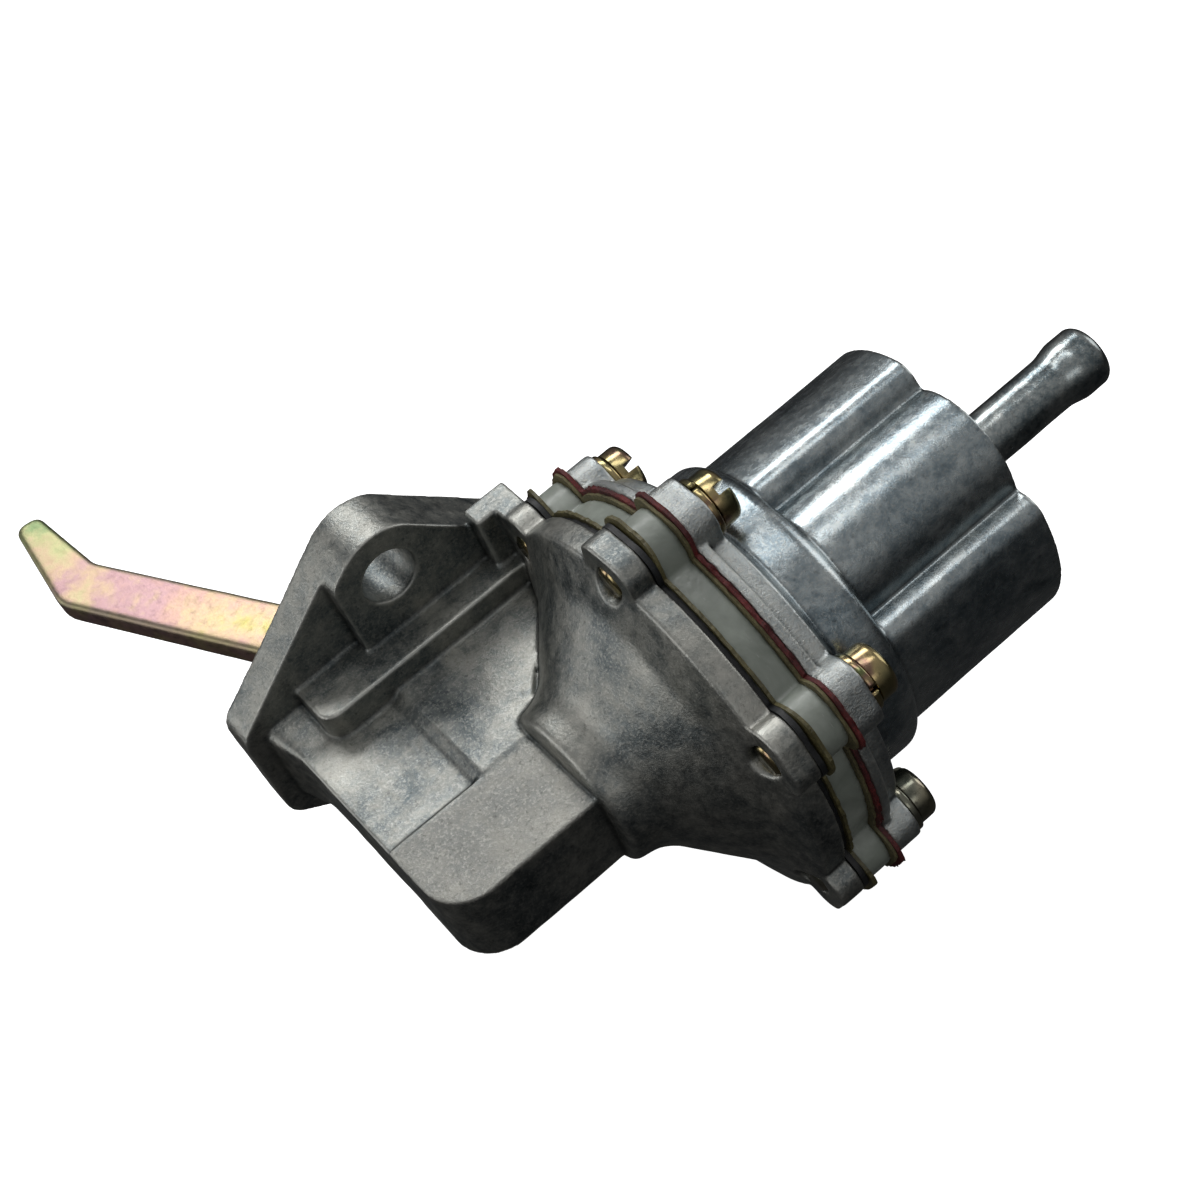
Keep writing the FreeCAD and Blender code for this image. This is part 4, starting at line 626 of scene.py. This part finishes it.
def screw(k, tip_x, head_x, top_x):
    """Slotted cheese-head screw with soft edges, in ear k."""
    blank = turned(screw_outline(tip_x, head_x, top_x), SCREW_STEPS)
    obj = placed("screw_blank", mesh_from(blank, "screw_blank"))
    slot = bmesh.new()
    bmesh.ops.create_cube(slot, size=1.0)
    bmesh.ops.transform(
        slot,
        matrix=Matrix.Translation((top_x * MM, 0, 0))
        @ Matrix.Rotation(math.radians(SLOT_TURNS[k]), 4, "X")
        @ Matrix.Diagonal((2 * SLOT_DEPTH * MM, 3 * HEAD_R * MM, SLOT_WIDTH * MM, 1.0)),
        verts=slot.verts,
    )
    cutter = placed("slot_cutter", mesh_from(slot, "slot_cutter"))
    cutting = obj.modifiers.new("slot", "BOOLEAN")
    cutting.operation = "DIFFERENCE"
    cutting.solver = "EXACT"
    cutting.object = cutter
    soft = obj.modifiers.new("soft", "BEVEL")
    soft.width = 0.14 * MM
    soft.segments = 3
    soft.limit_method = "ANGLE"
    soft.angle_limit = math.radians(50)
    made = evaluated(obj)
    bpy.data.objects.remove(cutter)
    return on_ear(made, k)


def split_washer(k, foot_x, top_x):
    """Spring washer on ear k: a square wire ring, cut through and a little twisted apart."""
    half = 0.5 * (top_x - foot_x)
    middle = 0.5 * (top_x + foot_x)
    section = softened(
        [(-half, WASHER_BORE_R), (half, WASHER_BORE_R), (half, WASHER_R), (-half, WASHER_R)],
        [0.2, 0.2, 0.35, 0.35], 3)
    start = FIRST_SCREW + EAR_STEP * k + 0.5 * WASHER_GAP
    sweep = 2.0 * math.pi - WASHER_GAP
    steps = 60
    work = bmesh.new()
    rings = []
    for n in range(steps + 1):
        t = n / steps
        lift = (t - 0.5) * WASHER_TWIST
        rings.append(ring(work, [(middle + x * 0.9 + lift, r) for x, r in section], start + sweep * t))
    for n in range(steps):
        band(work, rings[n], rings[n + 1])
    work.faces.new(rings[0])
    work.faces.new(list(reversed(rings[-1])))
    return on_ear(mesh_from(work, "washer"), k)


# Gaskets and diaphragms

RIM_R = 28.5 * MM
RIM_WIDTH = 2.0 * MM
EAR_TIP_R = 33.6 * MM
RIM_WAVE = 0.10 * MM
RIM_WAVE_TURNS = 9.0
FRAY_ALONG, FRAY_ACROSS = per(5.0), 900.0
FACE_SIZE = 0.6 * MM
SHARP_ANGLE = 0.7


def from_axis(v):
    """Distance of a point from the pump's axis."""
    return math.hypot(v.co.y - AXIS_Y, v.co.z)


def ragged_edge(node, back_mm, fray_mm, curl_mm, seed):
    """A die-cut sheet with ears: its edge stands back and is frayed, and its ear tips curl along X."""
    work = bmesh.new()
    work.from_mesh(welded_copy(node))
    for _ in range(4):
        long_edges = [
            e for e in work.edges
            if e.calc_length() > FACE_SIZE and all(from_axis(v) > RIM_R for v in e.verts)
        ]
        if not long_edges:
            break
        bmesh.ops.subdivide_edges(work, edges=long_edges, cuts=1)
        bmesh.ops.triangulate(work, faces=[f for f in work.faces if len(f.verts) > 4])
    outer = {
        v for e in work.edges if not e.is_manifold or e.calc_face_angle(0.0) > SHARP_ANGLE for v in e.verts
    }
    for v in work.verts:
        r = from_axis(v)
        if r < RIM_R:
            continue
        away = Vector((0.0, (v.co.y - AXIS_Y) / r, v.co.z / r))
        turn = math.atan2(away.z, away.y)
        place = Vector((v.co.x * FRAY_ALONG, v.co.y * FRAY_ACROSS, v.co.z * FRAY_ACROSS + seed))
        share = min(1.0, (r - RIM_R) / RIM_WIDTH)
        v.co -= away * back_mm * MM * share
        if v in outer:
            v.co += away * (noise.noise(place) * fray_mm * MM)
            v.co += away * (noise.noise(place * 3.1) * 0.4 * fray_mm * MM)
        near_ear = math.cos(EARS * (turn - FIRST_SCREW))
        tip = max(0.0, r - EAR_TIP_R) / RIM_WIDTH
        v.co.x += curl_mm * MM * min(tip, 1.3) * max(0.0, near_ear)
        wave = noise.noise(Vector((math.cos(turn) * RIM_WAVE_TURNS, math.sin(turn) * RIM_WAVE_TURNS, seed)))
        v.co.x += wave * RIM_WAVE * max(0.0, -near_ear) * share
    return mesh_from(work, node + "_sheet")


# Castings, plate and arm

def sandy_tail(points):
    """The sides of the tail, below tail_y and before tail_x, are sandier than the rest of the casting."""
    tail_x, tail_y, side_z, growth = -0.4, -35.4, 6.5, 1.2
    x, y, z = points.T
    return growth * np.minimum(tail_y - y, tail_x - x) * (np.abs(z) > side_z)


def sandy_rim(points):
    """The upper casting is sandy on its rim and ears and glossy from the bowl on."""
    bowl_x, fade = 32.5, 2.5
    return (bowl_x - points[:, 0]) / fade


show(
    "lower_casting",
    cast_skin(
        "lower_body", voxel_mm=0.28, rounds=6, waves=[(3.0, 0.05, 3.0), (12.0, 0.12, 8.0)],
        sandy=sandy_tail),
    LOWER_ZINC, "pump", "lower_body")
show(
    "upper_casting",
    cast_skin(
        "upper_body", voxel_mm=0.26, rounds=6, waves=[(2.5, 0.02, 5.0), (12.0, 0.08, 2.0)],
        sandy=sandy_rim),
    UPPER_ZINC, "pump", "upper_body")
show(
    "valve_carrier",
    cast_skin("valve_plate", voxel_mm=0.30, rounds=3, waves=[(6.0, 0.04, 4.0)]),
    NYLON, "pump", "valve_plate")
show(
    "cam_arm",
    cast_skin("rocker_arm", voxel_mm=0.30, rounds=4, waves=[(5.0, 0.03, 7.0)]),
    ARM_STEEL, "arm", "rocker_arm")


# Pipes, screws, washers and sheets

INLET_FOOT = LOBE_OUT + 7.2 * MM
INLET_LENGTH = 30.8

low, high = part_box("outlet_pipe")
middle = (low + high) / 2
along = Vector(((high.x - low.x) / 2, 0, 0))
hose_pipe("outlet_hose_pipe", "outlet_pipe", middle - along, (1, 0, 0), (high.x - low.x) / MM, 1.0)

low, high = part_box("inlet_pipe")
away = Vector((0.0, -math.cos(LOBE_TURN), -math.sin(LOBE_TURN)))
on_axis = Vector(((low.x + high.x) / 2, AXIS_Y, 0.0))
hose_pipe("inlet_hose_pipe", "inlet_pipe", on_axis + away * INLET_FOOT, away, INLET_LENGTH, 6.0)

screw_low, screw_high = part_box("cover_screws")
washer_low, washer_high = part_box("spring_washers")
show(
    "cheese_head_screws",
    joined([
        screw(k, screw_low.x / MM - TIP_PROUD, washer_high.x / MM, screw_high.x / MM - HEAD_CROWN)
        for k in range(EARS)
    ], "screws"),
    SCREW_STEEL, "pump", "cover_screws")
show(
    "split_washers",
    joined([split_washer(k, washer_low.x / MM, washer_high.x / MM) for k in range(EARS)], "washers"),
    SCREW_STEEL, "pump", "spring_washers")

SHEETS = [
    ("red_gasket", "cover_gasket", RED_FIBRE, "red_fibre",
     {"back_mm": 0.1, "fray_mm": 0.5, "curl_mm": 0.0, "seed": 3.0}),
    ("pale_gasket", "plate_gasket", PALE_FIBRE, "pale_fibre",
     {"back_mm": 0.7, "fray_mm": 0.2, "curl_mm": -0.1, "seed": 5.0}),
    ("olive_diaphragm", "fuel_diaphragm", OLIVE_RUBBER, "olive_rubber",
     {"back_mm": 0.1, "fray_mm": 0.25, "curl_mm": 0.35, "seed": 7.0}),
    ("black_diaphragm", "guard_diaphragm", BLACK_RUBBER, "black_rubber",
     {"back_mm": 0.9, "fray_mm": 0.15, "curl_mm": -0.1, "seed": 9.0}),
]
for name, node, material, slot, edge in SHEETS:
    show(name, ragged_edge(node, **edge), material, "pump", node, smooth=False)


# Inner pieces, shown as they are

CARRIED = {
    BRIGHT_STEEL: [
        "link_lever", "pivot_pin", "pivot_washers", "pull_rod", "seal_retainer", "lower_disc", "upper_disc"],
    SPRING_WIRE: ["arm_return_spring", "diaphragm_spring", "outlet_valve_spring", "inlet_valve_spring"],
    NYLON: ["outlet_valve_cage", "inlet_valve_seat"],
    BLACK_RUBBER: ["rod_seal", "outlet_valve_disc", "inlet_valve_disc"],
    GAUZE: ["inlet_screen"],
}
for material, names in CARRIED.items():
    for name in names:
        mesh = NODES[name].data
        mesh.materials.clear()
        mesh.materials.append(material)


# Camera

camera_data = bpy.data.cameras.new("camera")
camera_data.lens = 67.943
camera_data.sensor_width = 36.0
camera_data.clip_start = 0.01
camera_data.clip_end = 20.0
camera = placed("camera", camera_data)
camera.location = (-44.696 * MM, -220.506 * MM, 243.128 * MM)
camera.rotation_mode = "QUATERNION"
camera.rotation_quaternion = Quaternion((0.86838272, 0.35047199, 0.02152597, -0.35016778))
bpy.context.scene.camera = camera


# Floor and light

LIGHTS_AIM = Vector((0.02, -0.03, 0.0))


def pale_floor(z):
    """White paper floor; it gives off most of its own light, so that it stays pale and adds no glare."""
    work = bmesh.new()
    bmesh.ops.create_grid(work, x_segments=1, y_segments=1, size=6.0)
    floor = placed("floor", mesh_from(work, "floor"))
    floor.location.z = z
    material, tree, _ = new_material("white_paper")
    finish_material(
        tree, Base_Color=linear("#DADADA"), Roughness=0.9, Specular_IOR_Level=0.1,
        Emission_Color=(1.0, 1.0, 1.0, 1.0), Emission_Strength=0.86)
    floor.data.materials.append(material)
    floor.visible_glossy = False
    floor.visible_diffuse = False


def soft_box(name, place, size, brightness):
    """Rectangular light that faces the pump; brightness is what a mirror would show of it."""
    light = bpy.data.lights.new(name, "AREA")
    light.shape = "RECTANGLE"
    light.size, light.size_y = size
    light.energy = brightness * math.pi * size[0] * size[1]
    obj = placed(name, light)
    obj.location = place
    obj.rotation_mode = "QUATERNION"
    obj.rotation_quaternion = (LIGHTS_AIM - Vector(place)).to_track_quat("-Z", "Y")


def studio_air():
    """Grey room: light above, dark towards the ground."""
    world = bpy.data.worlds.new("studio")
    world.use_nodes = True
    tree = world.node_tree
    tree.nodes.clear()
    place = add(tree, "TexCoord", {}).outputs["Generated"]
    height = add(tree, "SeparateXYZ", {0: place}).outputs["Z"]
    lifted = add(tree, "Math", {0: height, 1: 0.5, 2: 0.5}, operation="MULTIPLY_ADD")
    shade = add(tree, "ValToRGB", {0: lifted}, [
        (0.0, 0.03), (0.42, 0.04), (0.56, 0.16), (0.75, 0.32), (1.0, 0.45)])
    background = add(tree, "Background", {"Color": shade, "Strength": 1.0})
    add(tree, "OutputWorld", {"Surface": background})
    bpy.context.scene.world = world


pale_floor(solid_box[0].z)
studio_air()

SOFT_BOXES = [
    ("back_light", (0.20, 0.60, 0.66), (0.60, 0.26), 7.0),
    ("top_light", (0.22, 0.08, 0.92), (0.50, 0.16), 4.0),
    ("left_light", (-0.85, 0.10, 0.30), (0.40, 0.60), 1.8),
    ("back_left_light", (-0.66, 0.60, 0.12), (0.30, 0.50), 2.2),
    ("front_light", (-0.1, -0.80, 0.50), (0.60, 0.30), 0.8),
    ("right_light", (0.85, -0.05, 0.30), (0.50, 0.60), 1.8),
]
for name, place, size, brightness in SOFT_BOXES:
    soft_box(name, place, size, brightness)

bpy.context.scene.view_settings.view_transform = "Standard"
